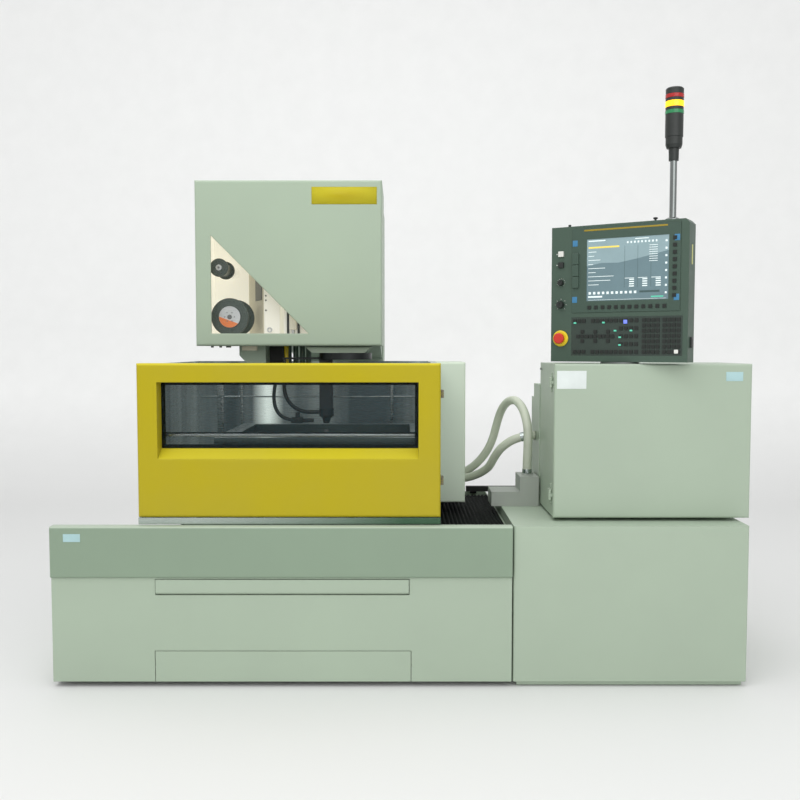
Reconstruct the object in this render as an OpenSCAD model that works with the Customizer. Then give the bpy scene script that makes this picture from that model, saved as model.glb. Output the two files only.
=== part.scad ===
/* [Bed] */
// Width of the bed with its covers
bed_w = 1635; // [1625:1:1645]
// Depth of the front part of the bed
bed_d = 1000; // [996:1:1010]
// Depth of the rear stem with its skirt
stem_d = 1000; // [990:1:1030]
// Height of the bed covers above the floor
bed_top = 580; // [572:1:586]
// Gap under the covers
foot_gap = 20; // [15:1:30]
// Height of the upper band of the front cover
band_h = 184; // [180:1:188]
// How far the upper band stands proud of the lower panel
band_proud = 10; // [6:1:14]
// Depth of the upper band
band_d = 40; // [34:1:46]
// Thickness of the sheet-metal covers
sheet_t = 4; // [3:0.5:5]
// Underside of the bed casting
casting_z = 60; // [56:1:70]
// Height of the plinth of the bed casting
plinth_h = 140; // [130:1:150]
// How far the casting stays inside the covers at each end
casting_inset = 50; // [44:1:56]
// Wall of the hollow castings
casting_wall = 45; // [36:1:55]
// Width of the rear stem of the casting
stem_w = 700; // [690:2:710]
// Height of a machined seat under a rail
rail_seat_h = 40; // [36:1:44]
// Width of a linear rail
rail_w = 28; // [24:1:32]
// Height of a linear rail
rail_h = 28; // [26:1:30]
// Radius of a ball screw
screw_r = 16; // [14:0.5:18]
// Radius of a levelling pad
pad_r = 40; // [36:1:45]
// Height of a levelling pad
pad_h = 12; // [10:1:14]
// Width of the tool drawer front
drawer_w = 898; // [880:1:904]
// Height of the tool drawer front
drawer_h = 54; // [50:1:55]
// Depth of the tool drawer
drawer_d = 280; // [260:1:284]
// Width of the lift-off access panel
access_w = 910; // [900:1:920]
// Height of the lift-off access panel
access_h = 110; // [100:1:120]

/* [Axes] */
// Wire position measured from the left end of the bed
wire_from_left = 939; // [934:1:944]
// Wire position measured from the front of the machine
wire_from_front = 500; // [495:1:505]
// Travel of the tank to the left
tank_travel_left = 300; // [280:5:300]
// Travel of the tank to the right
tank_travel_right = 90; // [80:5:94]
// Travel of the column, each way
column_travel = 200; // [180:5:200]

/* [Work tank] */
// Gap between the bed covers and the tank door
door_up = 28; // [27:1:32]
// Width of the tank door
door_w = 1075.5; // [1070:0.5:1080]
// Height of the tank door
door_h = 547; // [540:1:552]
// Thickness of the tank door
door_t = 75; // [72:1:78]
// Left margin of the window from the left edge of the door
window_in = 72; // [68:1:80]
// Right margin of the window from the right edge of the door
window_out = 78.5; // [70:0.5:84]
// Height of the door under the window
window_up = 207; // [200:1:215]
// Height of the door above the window
window_down = 67; // [60:1:72]
// Depth of the window opening down to the glass
window_d = 62; // [58:1:64]
// Rise of the sloping window sill
sill_rise = 34; // [28:1:38]
// Thickness of the window glass
glass_t = 8; // [6:1:9]
// Height of the tank walls
tank_h = 544; // [538:1:546]
// Thickness of the tank base plate
tank_base_t = 23; // [21:1:24]
// Thickness of a tank wall
tank_wall = 12; // [10:1:13]
// Width of the service box beside the tank
service_w = 117; // [110:1:118]
// Depth of the service box
service_d = 300; // [280:1:320]
// Height of the table top above the tank floor
table_up = 274; // [268:1:280]
// Thickness of the work table frame
table_t = 45; // [40:1:48]
// Width of a work table bar
table_bar = 60; // [56:1:62]
// Radius of a clamping hole in the work table
table_hole_r = 5; // [4:0.5:6]

/* [Column and head] */
// Width of the column trunk
column_w = 430; // [424:2:440]
// Depth of the column trunk
column_d = 460; // [450:1:470]
// Width of the lower arm
arm_w = 120; // [112:1:122]
// Height of the lower arm
arm_h = 130; // [120:1:134]
// Gap between the tank top and the wire feed head
head_up = 67; // [64:1:72]
// Width of the wire feed head
head_w = 718; // [712:1:722]
// Height of the wire feed head
head_h = 633; // [628:1:638]
// Depth of the head cover
head_cover_d = 58; // [54:1:62]
// Depth of the head box behind its cover
head_box_d = 330; // [325:1:335]
// Radius of the wire spool flange
spool_r = 74; // [68:1:75]
// Radius of the guide roller flange
roller_r = 36; // [32:1:38]
// Length of the wire spool and of the guide roller
spool_l = 150; // [140:1:154]
// Width of the upper wire guide column
guide_w = 52; // [46:1:54]

/* [Control side] */
// Gap between the bed covers and the fluid cabinet
seam = 5; // [3:1:8]
// Setback of the control cabinet from the left end of the fluid cabinet
control_in = 153; // [148:1:158]
// Width of the control cabinet
control_w = 714; // [706:1:720]
// Width of the fluid cabinet
fluid_w = 834; // [820:1:840]
// Depth of the fluid cabinet
fluid_d = 860; // [850:1:868]
// Height of the control cabinet
control_h = 560; // [550:1:562]
// Gap under the control cabinet
control_gap = 12; // [10:1:14]
// Depth of the control cabinet shell with its door
control_d = 340; // [330:1:346]
// Thickness of the control cabinet door
control_door_t = 30; // [26:1:34]
// Radius of the rounded edges of the sheet-metal boxes
edge_r = 8; // [5:1:10]
// Diameter of the two fluid hoses
hose_dia = 36; // [32:1:38]

/* [Operator panel] */
// Width of the screen
screen_w = 302; // [298:1:306]
// Height of the screen
screen_h = 226; // [222:1:230]
// Thickness of the operator panel
panel_t = 80; // [76:1:86]
// Turn of the operator panel towards the tank at rest
panel_turn = 32.2; // [30:0.1:34]
// Height of the key panel under the screen
key_panel_h = 142; // [138:1:146]
// Radius of the emergency button cap
stop_r = 20; // [17:1:21]
// Travel of the emergency button
stop_travel = 6; // [4:0.5:8]
// Travel of a small push button
push_travel = 3; // [2:0.5:4]
// Radius of the signal tower lamps
lamp_r = 31; // [28:1:33]
// Radius of the signal tower pole
pole_r = 12; // [10:0.5:14]

/* [Hidden] */

// Overrun of every cut past the face that it leaves
over = 1;
// Gap between faces that slide or swing past each other
slip = 0.3;
// Radial clearance of a running fit
fit = 0.05;
// Gap between two large pieces that part from each other
part_gap = 2;
// Facets of a round shape that stays an exact round
fine = 48;

// Ends of the bed, the cabinets and the machine, centred on the floor
overall_w = bed_w + seam + control_in + control_w;
overall_d = bed_d + stem_d;
x_left = -overall_w / 2;
y_front = -overall_d / 2;
y_back = overall_d / 2;
y_panel = y_front + band_proud;
bed_right = x_left + bed_w;
fluid_left = bed_right + seam;
wire_x = x_left + wire_from_left;
wire_y = y_front + wire_from_front;

// Front covers
band_z = bed_top - band_h;
cover_back = y_front + band_d;
deck_t = sheet_t;
drawer_in = 370.5;
drawer_left = x_left + drawer_in;
drawer_down = 7;
drawer_top = band_z - drawer_down;
drawer_gap = 2;
drawer_wall = 3;
drawer_lip = 8;
access_in = 365.5;
access_left = x_left + access_in;
deck_down = 29;
deck_z = drawer_top - deck_down;
end_cover_down = 34;
fold = 25;

// Bed casting
casting_l = x_left + casting_inset;
casting_r = bed_right - casting_inset;
casting_in = 60;
casting_front = y_front + casting_in;
cross_back = y_front + bed_d;
skirt_space = 20;
casting_back = y_back - skirt_space;
plinth_z = casting_z + plinth_h;
stem_down = 60;
stem_z = bed_top - stem_down;
stem_l = wire_x - stem_w / 2;
stem_r = wire_x + stem_w / 2;
x_rail_z = plinth_z + rail_seat_h;
y_rail_z = stem_z + rail_seat_h;
rail_seat_w = 80;
x_rail_fore = 100;
x_rail_aft = 320;
x_rail_ys = [wire_y - x_rail_fore, wire_y + x_rail_aft];
y_rail_half = 250;
y_rail_xs = [wire_x - y_rail_half, wire_x + y_rail_half];
rail_end = 20;
screw_lift = 25;
x_screw_y = (x_rail_ys[0] + x_rail_ys[1]) / 2;
x_screw_z = x_rail_z + screw_lift;
y_screw_z = y_rail_z + screw_lift;
motor_w = 90;
motor_l = 150;
bearing_w = 60;
bearing_l = 40;
core_r = 60;
core_l = 200;
core_depth = 60;
plinth_cores = 5;
plinth_core = (casting_r - casting_l - casting_wall) / plinth_cores;
plinth_core_share = 0.16;

// Saddle under the tank
carriage_space = 60;
saddle_z = x_rail_z + carriage_space;
door_z = bed_top + door_up;
saddle_top = door_z - part_gap - tank_base_t;
saddle_in_l = 79.75;
saddle_in_r = 60.25;
saddle_over = 60;
saddle_front = x_rail_ys[0] - saddle_over;
saddle_back = x_rail_ys[1] + saddle_over;
saddle_plate = 30;
saddle_web = 20;
carriage_l = 140;
carriage_w = 84;
carriage_lift = 10;
carriage_z = x_rail_z + carriage_lift;
flange_t = 8;
bellows_in = 70;
bellows_past = 10;
bellows_front = y_front + bellows_in;
bellows_back = saddle_back + bellows_past;
left_bellows_past = 15;
left_bellows_front = saddle_front - left_bellows_past;
left_bellows_down = 20;
left_bellows_z = deck_z - left_bellows_down;
left_bellows_h = 30;
right_bellows_down = 65;
right_bellows_z = bed_top - right_bellows_down;
right_bellows_h = 35;
left_deck_w = 38.5;
bellows_end = x_left + left_deck_w;
left_ribs = 22;
right_ribs = 20;
rib_share = 0.55;
rib_rise = 6;

// Tank
wire_in_door_share = 0.5886;
door_x = wire_x - wire_in_door_share * door_w;
door_in = 30;
door_front = y_front + door_in;
door_back = door_front + door_t;
door_over = 7.75;
tank_w = door_w - 2 * door_over;
tank_x = door_x + door_over;
tank_r = tank_x + tank_w;
saddle_l = tank_x + saddle_in_l;
saddle_r = tank_r - saddle_in_r;
tank_front = door_back + part_gap;
tank_behind = 40;
tank_back = cross_back - tank_behind;
tank_floor = saddle_top + tank_base_t;
tank_top = tank_floor + tank_h;
tank_lip = 8;
tank_lip_t = 6;
tank_sill_h = 154;
tank_jamb = 60;
slot_margin = 10;
table_z = tank_floor + table_up;
arm_under = 15;
arm_z = table_z - table_t - arm_under - arm_h;
slot_l = wire_x - arm_w / 2 - tank_travel_right - slot_margin;
slot_r = wire_x + arm_w / 2 + tank_travel_left + slot_margin;
slot_z = arm_z - slot_margin;
slot_h = arm_h + 2 * slot_margin;
seal_t = 8;
seal_margin = 15;
seal_leg_w = 60;
service_gap = 8.5;
service_x = tank_r + service_gap;
service_fore = 40;
service_front = wire_y - service_fore;
service_z = saddle_top + sheet_t;
service_h = tank_top + part_gap - service_z;
hose_up = 22;
hose_z = tank_floor + hose_up;
hose_past = 70;
hose_pitch = 60;
return_port_y = service_front + service_d + hose_past;
supply_port_y = return_port_y + hose_pitch;
hose_ys = [return_port_y, supply_port_y];
socket_l = 30;
socket_wall = 5;
table_in_l = 239.75;
table_in_r = 24;
table_in_front = 43;
table_in_back = 160;
table_l = tank_x + table_in_l;
table_r = tank_r - tank_wall - table_in_r;
table_front = tank_front + table_in_front;
table_back = tank_back - table_in_back;
table_holes = 8;
leg_w = 32;
hinge_pin_r = 4;
hinge_knuckle_r = 6.5;
hinge_h = 28;
hinge_x = door_x + door_w + hinge_knuckle_r + 2 * slip;
hinge_in = 10;
hinge_y = door_back - hinge_in;
hinge_shares = [0.221, 0.797];
hinge_zs = [for (share = hinge_shares) door_z + share * door_h];
window_w = door_w - window_in - window_out;
window_h = door_h - window_up - window_down;
window_x = door_x + window_in;
window_z = door_z + window_up;
glass_lap = 10;
glass_y = door_front + window_d;
gasket_t = 4;
gasket_w = 22;
skin_r = 10;

// Column and lower arm
column_behind = 60;
column_front = cross_back + column_travel + column_behind;
column_l = wire_x - column_w / 2;
foot_over = 115;
column_foot_z = y_rail_z + carriage_space;
foot_below_arm = 5;
column_foot_h = arm_z - foot_below_arm - column_foot_z;
head_z = tank_top + head_up;
head_top = head_z + head_h;
column_over = 50;
column_top = head_top + column_over;
neck_up = 23;
neck_z = head_z + neck_up;
z_rail_margin = 10;
neck_h = head_h - neck_up + z_rail_margin;
neck_w = 420;
neck_fore = 310;
neck_front = wire_y + neck_fore;
z_rail_h = 18;
z_rail_w = 40;
z_rail_half = 150;
z_rail_xs = [wire_x - z_rail_half, wire_x + z_rail_half];
arm_fore = 60;
arm_tip = wire_y - arm_fore;
arm_taper = 60;
lower_guide_r = 28;
lower_tip_r = 9;
lower_tip_gap = 2;
takeup_r = 45;
takeup_l = 60;
takeup_behind = 70;
takeup_y = column_front + column_d + takeup_behind;
takeup_z = arm_z + arm_h / 2;
takeup_cheek = 12;

// Head
wire_in_head_share = 0.681;
head_x = wire_x - wire_in_head_share * head_w;
head_aft = 230;
head_back = wire_y + head_aft;
head_front = head_back - head_box_d;
cover_front = head_front - part_gap - head_cover_d;
head_wall = 4;
carriage_h = 360;
carriage_top = neck_z + carriage_h;
carriage_gap = 22;
carriage_y = neck_front - z_rail_h - carriage_gap;
lens_in = 60.5;
lens_up = 48;
lens_corner_x = head_x + lens_in;
lens_corner_z = head_z + lens_up;
lens_w = 373;
lens_h = 375;
pane_t = 3;
pane_lap = 14;
cover_hinge_r = 4;
cover_hinge_h = 30;
cover_axis_x = head_x - cover_hinge_r - 2 * slip;
cover_axis_y = head_front - part_gap / 2;
cover_hinge_shares = [0.15, 0.85];
cover_hinge_zs = [for (share = cover_hinge_shares) head_z + head_h * share];
spool_in = 117.5;
spool_up = 114;
spool_x = head_x + spool_in;
spool_z = head_z + spool_up;
roller_in = 76.5;
roller_up = 307;
roller_x = head_x + roller_in;
roller_z = head_z + roller_up;
reel_in = 10;
spool_front = head_front + reel_in;
backplate_in = 40;
backplate_y = head_back - backplate_in;
backplate_t = 10;
shaft_r = 12;
spool_flange = 12;
spool_core_r = 46;
roller_core_r = 26;
flange_edge = 2;
hub_r = 30;
thread_side = 240;
thread_inset = 24;
thread_in = 40;
thread_l = wire_x - thread_side;
thread_r = head_x + head_w - thread_inset;
thread_front = head_front + thread_in;
thread_h = 330;
thread_gap_side = 178;
thread_gap_x = wire_x - thread_gap_side;
thread_gap = 15;
bracket_in = 145.5;
bracket_l = head_x + bracket_in;
bracket_w = 105;
bracket_drop = 75;
bracket_fore = 40;
bracket_front = wire_y - bracket_fore;
bracket_depth = 230;
post_w = 58;
post_d = 80;
post_behind = 70;
post_front = wire_y + post_behind;
tube_r = 11;
tube_sides = [167, 139, 111, 85];
tube_xs = [for (side = tube_sides) wire_x - side];
tube_behind = 140;
tube_y = wire_y + tube_behind;
u_side = 73;
u_l = wire_x - u_side;
u_w = 258;
u_h = 22;
u_fore = 100;
u_front = wire_y - u_fore;
u_d = 200;
u_rail_h = 5;
u_inset = 26;
v_r = 106;
v_side = 78;
v_x = wire_x + v_side;
v_h = 26;
guide_above = 25;
guide_tip_z = table_z + guide_above;
guide_neck_h = 60;
guide_tip_r = 12;
guide_flare = 6;
guide_cap = 4;
hose_arm = 170;
hose_r = 8;

// Fluid cabinet and what it holds
fluid_front = y_panel;
fluid_back = fluid_front + fluid_d;
fluid_right = fluid_left + fluid_w;
fluid_wall = 6;
skirt_in = 14;
skirt_gap = 4;
filter_r = 105;
filter_h = 400;
filter_in = 75;
filter_pitch = 240;
filter_xs = [fluid_right - filter_in - filter_r, fluid_right - filter_in - filter_r - filter_pitch];
filter_behind = 260;
filter_y = fluid_front + filter_behind;
pump_r = 80;
pump_h = 300;
pump_base = 220;
pump_in = 80;
pump_x = fluid_left + pump_in + pump_base / 2;
pump_y = filter_y + pump_base / 2 + filter_r + fold;

// Hose manifold behind the fluid cabinet edge
manifold_in = 74;
manifold_l = fluid_left + manifold_in;
manifold_w = 75;
manifold_behind = 404;
manifold_front = fluid_front + manifold_behind;
manifold_d = 142;
manifold_h = 118;
step_out = 39;
step_l = fluid_left - step_out;
step_h = 58;
tray_in = 100;
tray_l = bed_right - tray_in;
tray_w = 420;
tray_down = 17;
tray_z = bed_top - tray_down;
tray_h = 23;
tray_d = 24;
tray_fore = 112;
tray_y = cross_back - tray_fore;
tray_foot_w = 30;

// Control cabinet
control_x = fluid_left + control_in;
control_behind = 90;
control_front = fluid_front + control_behind;
control_z = bed_top + control_gap;
control_top = control_z + control_h;
control_back = control_front + control_d;
control_wall = 4;
control_inset = 3;
exchanger_downs = [88, 145];
exchanger_ds = [150, 60];
rack_t = 12;
rack_inset = 60;
amp_w = 80;
amp_h = 300;
amp_d = 160;
amp_count = 5;
louvre_pitch = 30;
louvre_count = 12;
control_hinge_shares = [0.143, 0.879];
control_hinge_zs = [for (share = control_hinge_shares) control_z + share * control_h];
control_hinge_r = 6;
control_hinge_h = 36;
control_axis_x = control_x - control_hinge_r - 2 * slip;
control_axis_y = control_front + control_door_t + drawer_gap / 2;
foot_pad = 60;

// Operator panel, in its own frame: x along the face, y to the back, z up
panel_up = 6;
panel_in = 17;
panel_behind = 183;
panel_z = control_top + panel_up;
panel_x = control_x + panel_in;
panel_y = control_front + panel_behind;
bezel_x = 82;
bezel_sides = [57, 41];
bezel_edge = 42;
bezel_w = bezel_sides[0] + screen_w + bezel_sides[1];
bezel_h = screen_h + 2 * bezel_edge;
panel_edges = [29, 10];
panel_w = bezel_x + bezel_w + panel_edges[0];
key_panel_x = 81;
key_panel_z = 23;
key_panel_out = 19;
key_panel_w = panel_w - key_panel_x - key_panel_out;
bezel_above = 17;
bezel_z = key_panel_z + key_panel_h + bezel_above;
panel_h = bezel_z + bezel_h + panel_edges[1];
pivot_x = panel_w / 2;
pivot_y = panel_t / 2;
pivot_r = 20;
pivot_h = 30;
pivot_flange_r = 70;
panel_chamfer = 14;
bezel_t = 5;
port_ups = [92, 135, 178];
port_x = 3;
port_w = 24;
port_h = 41;
screen_x = bezel_x + bezel_sides[0];
screen_z = bezel_z + bezel_edge;
screen_t = 3;
screen_back = 2;
key_panel_t = 4;
key_rise = 3;
key_size = 13;
key_edge = 14;
soft_keys = 12;
soft_key_down = 24;
side_keys = 9;
side_key_in = 20;
jog_xs = [44, 94, 142];
jog_step = 17;
row_keys = 10;
row_skip = 3;
row_pitch = 17.5;
block_key_xs = [190, 275, 348];
block_key_pitches = [19, 16.5, 16.5];
block_key_rows = [5, 7, 7];
block_columns = 4;
button_x = 39;
white_up = 220;
black_up = 179;
knob_up = 113;
mode_up = 31;
stop_up = 64;
white_z = bezel_z + white_up;
black_z = bezel_z + black_up;
knob_z = bezel_z + knob_up;
mode_z = bezel_z + mode_up;
stop_z = key_panel_z + stop_up;
push_size = 20;
push_rise = 8;
push_depth = 12;
knob_r = 11;
knob_h = 16;
knob_stem_r = 5;
knob_stem = 14;
mode_r = 14;
mode_h = 18;
stop_ring_r = 30;
stop_ring_h = 8;
stop_stem_r = 12;
stop_rise = 26;
stop_cap_h = 12;
pole_in = 71;
pole_x = panel_w - pole_in;
pole_foot_r = 26;
pole_foot_h = 10;
pole_h = 209;
neck_len = 43;
collar_h = 38;
body_h = 80;
lens_ups = [0, 24, 55];
lens_hs = [13, 20, 13];
lens_wall = 6;
lens_proud = 1;
cap_h = 23;
cap_slope = 4;

module block(x0, x1, y0, y1, z0, z1) {
    translate([x0, y0, z0])
        cube([x1 - x0, y1 - y0, z1 - z0]);
}

// A rounded rectangle made of squares and true circles
module round_rect(w, h, r) {
    translate([r, 0])
        square([w - 2 * r, h]);
    translate([0, r])
        square([w, h - 2 * r]);
    for (x = [r, w - r])
        for (y = [r, h - r])
            translate([x, y])
                circle(r = r, $fn = fine);
}

// A profile drawn in X and Z and extruded from y0 to y1
module along_y(y0, y1) {
    translate([0, y1, 0])
        rotate([90, 0, 0])
            linear_extrude(height = y1 - y0)
                children();
}

// A profile drawn in Y and Z and extruded from x0 to x1
module along_x(x0, x1) {
    translate([x0, 0, 0])
        rotate([90, 0, 90])
            linear_extrude(height = x1 - x0)
                children();
}

// An upright cylinder that stands on z0
module post(x, y, z0, z1, r) {
    translate([x, y, z0])
        cylinder(h = z1 - z0, r = r, $fn = fine);
}

// A cylinder along Y that starts at y0
module rod_y(x, z, y0, y1, r) {
    translate([x, y1, z])
        rotate([90, 0, 0])
            cylinder(h = y1 - y0, r = r, $fn = fine);
}

// A cylinder along X that starts at x0
module rod_x(y, z, x0, x1, r) {
    translate([x0, y, z])
        rotate([0, 90, 0])
            cylinder(h = x1 - x0, r = r, $fn = fine);
}

// A sheet-metal box with rounded front edges, open at its back
module pan(x0, x1, y0, y1, z0, z1, wall, r) {
    difference() {
        union() {
            translate([x0, y0, z0])
                intersection() {
                    linear_extrude(height = z1 - z0)
                        front_round(x1 - x0, y1 - y0, r);
                    along_x(0, x1 - x0)
                        front_round_side(y1 - y0, z1 - z0, r);
                }
        }
        block(x0 + wall, x1 - wall, y0 + wall, y1 + over, z0 + wall, z1 - wall);
    }
}

// Plan of a box whose two front corners are rounded
module front_round(w, d, r) {
    translate([0, r])
        square([w, d - r]);
    translate([r, 0])
        square([w - 2 * r, r]);
    for (x = [r, w - r])
        translate([x, r])
            circle(r = r, $fn = fine);
}

// Side view of a box whose two front edges are rounded
module front_round_side(d, h, r) {
    translate([r, 0])
        square([d - r, h]);
    translate([0, r])
        square([r, h - 2 * r]);
    for (z = [r, h - r])
        translate([r, z])
            circle(r = r, $fn = fine);
}

module bed_casting() {
    color([0.42, 0.47, 0.42])
        difference() {
            union() {
                block(casting_l, casting_r, casting_front, cross_back, casting_z, plinth_z);
                block(stem_l, stem_r, cross_back - over, casting_back, casting_z, stem_z);
                for (y = x_rail_ys)
                    block(casting_l, casting_r, y - rail_seat_w / 2, y + rail_seat_w / 2,
                        plinth_z - over, x_rail_z);
                for (x = y_rail_xs)
                    block(x - rail_seat_w / 2, x + rail_seat_w / 2, cross_back, casting_back,
                        stem_z - over, y_rail_z);
            }
            for (side = [stem_l, stem_r - core_depth])
                for (share = [0.28, 0.72])
                    core_pocket(side, cross_back + share * (casting_back - cross_back));
            block(stem_l + core_depth + casting_wall, stem_r - core_depth - casting_wall, cross_back + casting_wall,
                casting_back - casting_wall, casting_z + casting_wall, stem_z - casting_wall);
            for (i = [0:plinth_cores - 1])
                block(casting_l + (i + plinth_core_share) * plinth_core, casting_l + (i + 1) * plinth_core,
                    casting_front + casting_wall, cross_back - casting_wall, casting_z + casting_wall,
                    plinth_z - casting_wall);
        }
}

// A cored pocket with round ends in the side of the stem
module core_pocket(side, y) {
    for (s = [-core_l / 2 + core_r, core_l / 2 - core_r])
        rod_x(y + s, (casting_z + stem_z) / 2, side - over, side + core_depth + over, core_r);
    block(side - over, side + core_depth + over, y - core_l / 2 + core_r, y + core_l / 2 - core_r,
        (casting_z + stem_z) / 2 - core_r, (casting_z + stem_z) / 2 + core_r);
}

module levelling_feet() {
    color("dimgray") {
        for (x = [casting_l + 3 * pad_r, casting_r - 3 * pad_r])
            for (y = [casting_front + 2 * pad_r, cross_back - 2 * pad_r])
                levelling_foot(x, y, casting_z);
        for (x = y_rail_xs)
            levelling_foot(x, casting_back - 2 * pad_r, casting_z);
        for (x = [fluid_left + 2 * pad_r, fluid_right - 2 * pad_r])
            for (y = [fluid_front + 2 * pad_r, fluid_back - 2 * pad_r])
                levelling_foot(x, y, foot_gap);
    }
}

// A round pad with a chamfered top and a screw up to the underside that it carries
module levelling_foot(x, y, top) {
    pad_slope = pad_h / 3;
    translate([x, y, 0])
        rotate_extrude($fn = fine)
            polygon([[0, 0], [pad_r, 0], [pad_r, pad_h - pad_slope], [pad_r - pad_slope, pad_h],
                [pad_r / 3, pad_h], [pad_r / 3, top], [0, top]]);
}

module front_band() {
    color([0.69, 0.78, 0.70]) {
        along_x(x_left, bed_right)
            difference() {
                translate([y_front, band_z])
                    front_round_side(band_d, band_h, edge_r);
                translate([y_front + sheet_t, band_z + sheet_t])
                    square([band_d, band_h - 2 * sheet_t]);
                translate([y_panel + sheet_t, band_z - over])
                    square([band_d, 2 * sheet_t]);
            }
        for (x = [x_left, bed_right - sheet_t])
            block(x, x + sheet_t, y_front + edge_r, cover_back, band_z + sheet_t, bed_top - sheet_t);
    }
}

module front_panel() {
    color([0.69, 0.78, 0.70])
        difference() {
            union() {
                block(x_left, bed_right, y_panel, y_panel + sheet_t, foot_gap, band_z);
                for (x = [x_left, bed_right - sheet_t])
                    block(x, x + sheet_t, y_panel + sheet_t - over, y_panel + fold, foot_gap, band_z);
            }
            block(drawer_left - drawer_gap, drawer_left + drawer_w + drawer_gap, y_panel - over,
                y_panel + fold + over, drawer_top - drawer_h - drawer_gap, drawer_top + drawer_gap);
            block(access_left - drawer_gap, access_left + access_w + drawer_gap, y_panel - over,
                y_panel + fold + over, foot_gap - over, foot_gap + access_h + drawer_gap);
        }
}

module bed_covers() {
    housing_l = drawer_left - drawer_gap - 2 * drawer_wall;
    housing_r = drawer_left + drawer_w + drawer_gap + 2 * drawer_wall;
    housing_back = y_panel + drawer_d + fold;
    housing_z = drawer_top - drawer_h - 4 * drawer_wall;
    color([0.66, 0.75, 0.67]) {
        access_cover();
        left_side_cover();
        right_end_cover();
        difference() {
            block(housing_l, housing_r, y_panel + fold, housing_back, housing_z, drawer_top + 2 * drawer_wall);
            block(housing_l + drawer_wall, housing_r - drawer_wall, y_panel + fold - over,
                housing_back - drawer_wall, housing_z + drawer_wall, drawer_top + drawer_wall);
        }
        for (x = [housing_l + drawer_wall - over, drawer_left + drawer_w + slip])
            block(x, x + drawer_wall + drawer_gap + over - slip, y_panel + fold, housing_back - over,
                drawer_top - drawer_h / 2, drawer_top - drawer_h / 4);
        for (x = [housing_l + fold, housing_r - 2 * fold])
            block(x, x + fold, casting_front + fold, housing_back - fold, plinth_z, housing_z);
        rear_skirt();
    }
}

// The lift-off panel at the bottom of the front, hung on two studs of the casting
module access_cover() {
    block(access_left, access_left + access_w, y_panel, y_panel + sheet_t, foot_gap,
        foot_gap + access_h);
    for (x = [access_left + 2 * fold, access_left + access_w - 3 * fold])
        block(x, x + fold, y_panel + sheet_t - over, casting_front, casting_z + sheet_t,
            casting_z + sheet_t + fold);
}

module left_side_cover() {
    block(x_left, x_left + sheet_t, y_panel + fold, cross_back + over, foot_gap, deck_z);
    block(x_left + sheet_t - over, bellows_end, y_panel + fold, cross_back + over, deck_z - deck_t,
        deck_z);
    block(bellows_end - sheet_t, bellows_end, y_panel + fold, cross_back + over, plinth_z,
        deck_z - deck_t + over);
    block(x_left, stem_l, cross_back, cross_back + sheet_t, foot_gap, deck_z);
    block(bellows_end - over, drawer_left - 4 * drawer_wall, y_panel + fold,
        left_bellows_front - sheet_t, deck_z - deck_t, deck_z);
}

module right_end_cover() {
    end_top = bed_top - end_cover_down;
    block(bed_right - sheet_t, bed_right, cover_back, cross_back + over, foot_gap, end_top);
    block(stem_r, bed_right, cross_back, cross_back + sheet_t, foot_gap, end_top);
}

module rear_skirt() {
    skirt_top = stem_z - rail_end;
    for (x = [stem_l - sheet_t, stem_r])
        block(x, x + sheet_t, cross_back, y_back, foot_gap, skirt_top);
    block(stem_l - over, stem_r + over, y_back - sheet_t, y_back, foot_gap, skirt_top);
    for (x = y_rail_xs)
        block(x, x + fold, casting_back, y_back - sheet_t + over, casting_z + fold,
            casting_z + 2 * fold);
}

module axis_rails() {
    screw_back = casting_back - rail_end;
    color("silver") {
        for (y = x_rail_ys)
            block(casting_l + rail_end, casting_r - rail_end, y - rail_w / 2, y + rail_w / 2,
                x_rail_z, x_rail_z + rail_h);
        for (x = y_rail_xs)
            block(x - rail_w / 2, x + rail_w / 2, cross_back + rail_end, screw_back, y_rail_z,
                y_rail_z + rail_h);
        rod_x(x_screw_y, x_screw_z, casting_l + rail_end, casting_r - motor_l - rail_end, screw_r);
        for (x = [casting_l + rail_end + bearing_l, casting_r - motor_l - rail_end - bearing_l])
            bearing_block(x, x_screw_y, plinth_z, x_screw_z);
        block(casting_r - motor_l - rail_end, casting_r - rail_end, x_screw_y - motor_w / 2,
            x_screw_y + motor_w / 2, plinth_z, plinth_z + motor_w);
        rod_y(wire_x, y_screw_z, cross_back + rail_end, screw_back - motor_l / 2, screw_r);
        for (y = [cross_back + rail_end + bearing_l, screw_back - motor_l / 2 - bearing_l])
            rotate([0, 0, 90])
                bearing_block(y, -wire_x, stem_z, y_screw_z);
        block(wire_x - motor_w / 2, wire_x + motor_w / 2, screw_back - motor_l / 2, screw_back, stem_z,
            stem_z + motor_w);
    }
}

// A bearing block with its screw bore, standing on z0
module bearing_block(x, y, z0, z_axis) {
    difference() {
        block(x - bearing_l / 2, x + bearing_l / 2, y - bearing_w / 2, y + bearing_w / 2, z0,
            z_axis + bearing_w / 2);
        rod_x(y, z_axis, x - bearing_l, x + bearing_l, screw_r);
    }
}

// A flat folded bellows between x0 and x1 with its ribs along Y
module folded_bellows(x0, x1, y0, y1, z0, z1, ribs) {
    pitch = (x1 - x0) / ribs;
    along_y(y0, y1)
        polygon(concat(
            [[x0, z0], [x1, z0]],
            [for (i = [ribs - 1:-1:0]) each [
                [x0 + (i + 1) * pitch, z1 - rib_rise],
                [x0 + (i + rib_share) * pitch, z1],
                [x0 + (i + 1 - rib_share) * pitch, z1]]],
            [[x0, z1 - rib_rise]]));
}

module left_bellows() {
    color([0.08, 0.08, 0.08])
        folded_bellows(bellows_end, saddle_l - flange_t, left_bellows_front, bellows_back,
            left_bellows_z, left_bellows_z + left_bellows_h, left_ribs);
}

module right_bellows() {
    color([0.08, 0.08, 0.08])
        folded_bellows(saddle_r + flange_t, bed_right - sheet_t, bellows_front, bellows_back,
            right_bellows_z, right_bellows_z + right_bellows_h, right_ribs);
}

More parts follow.
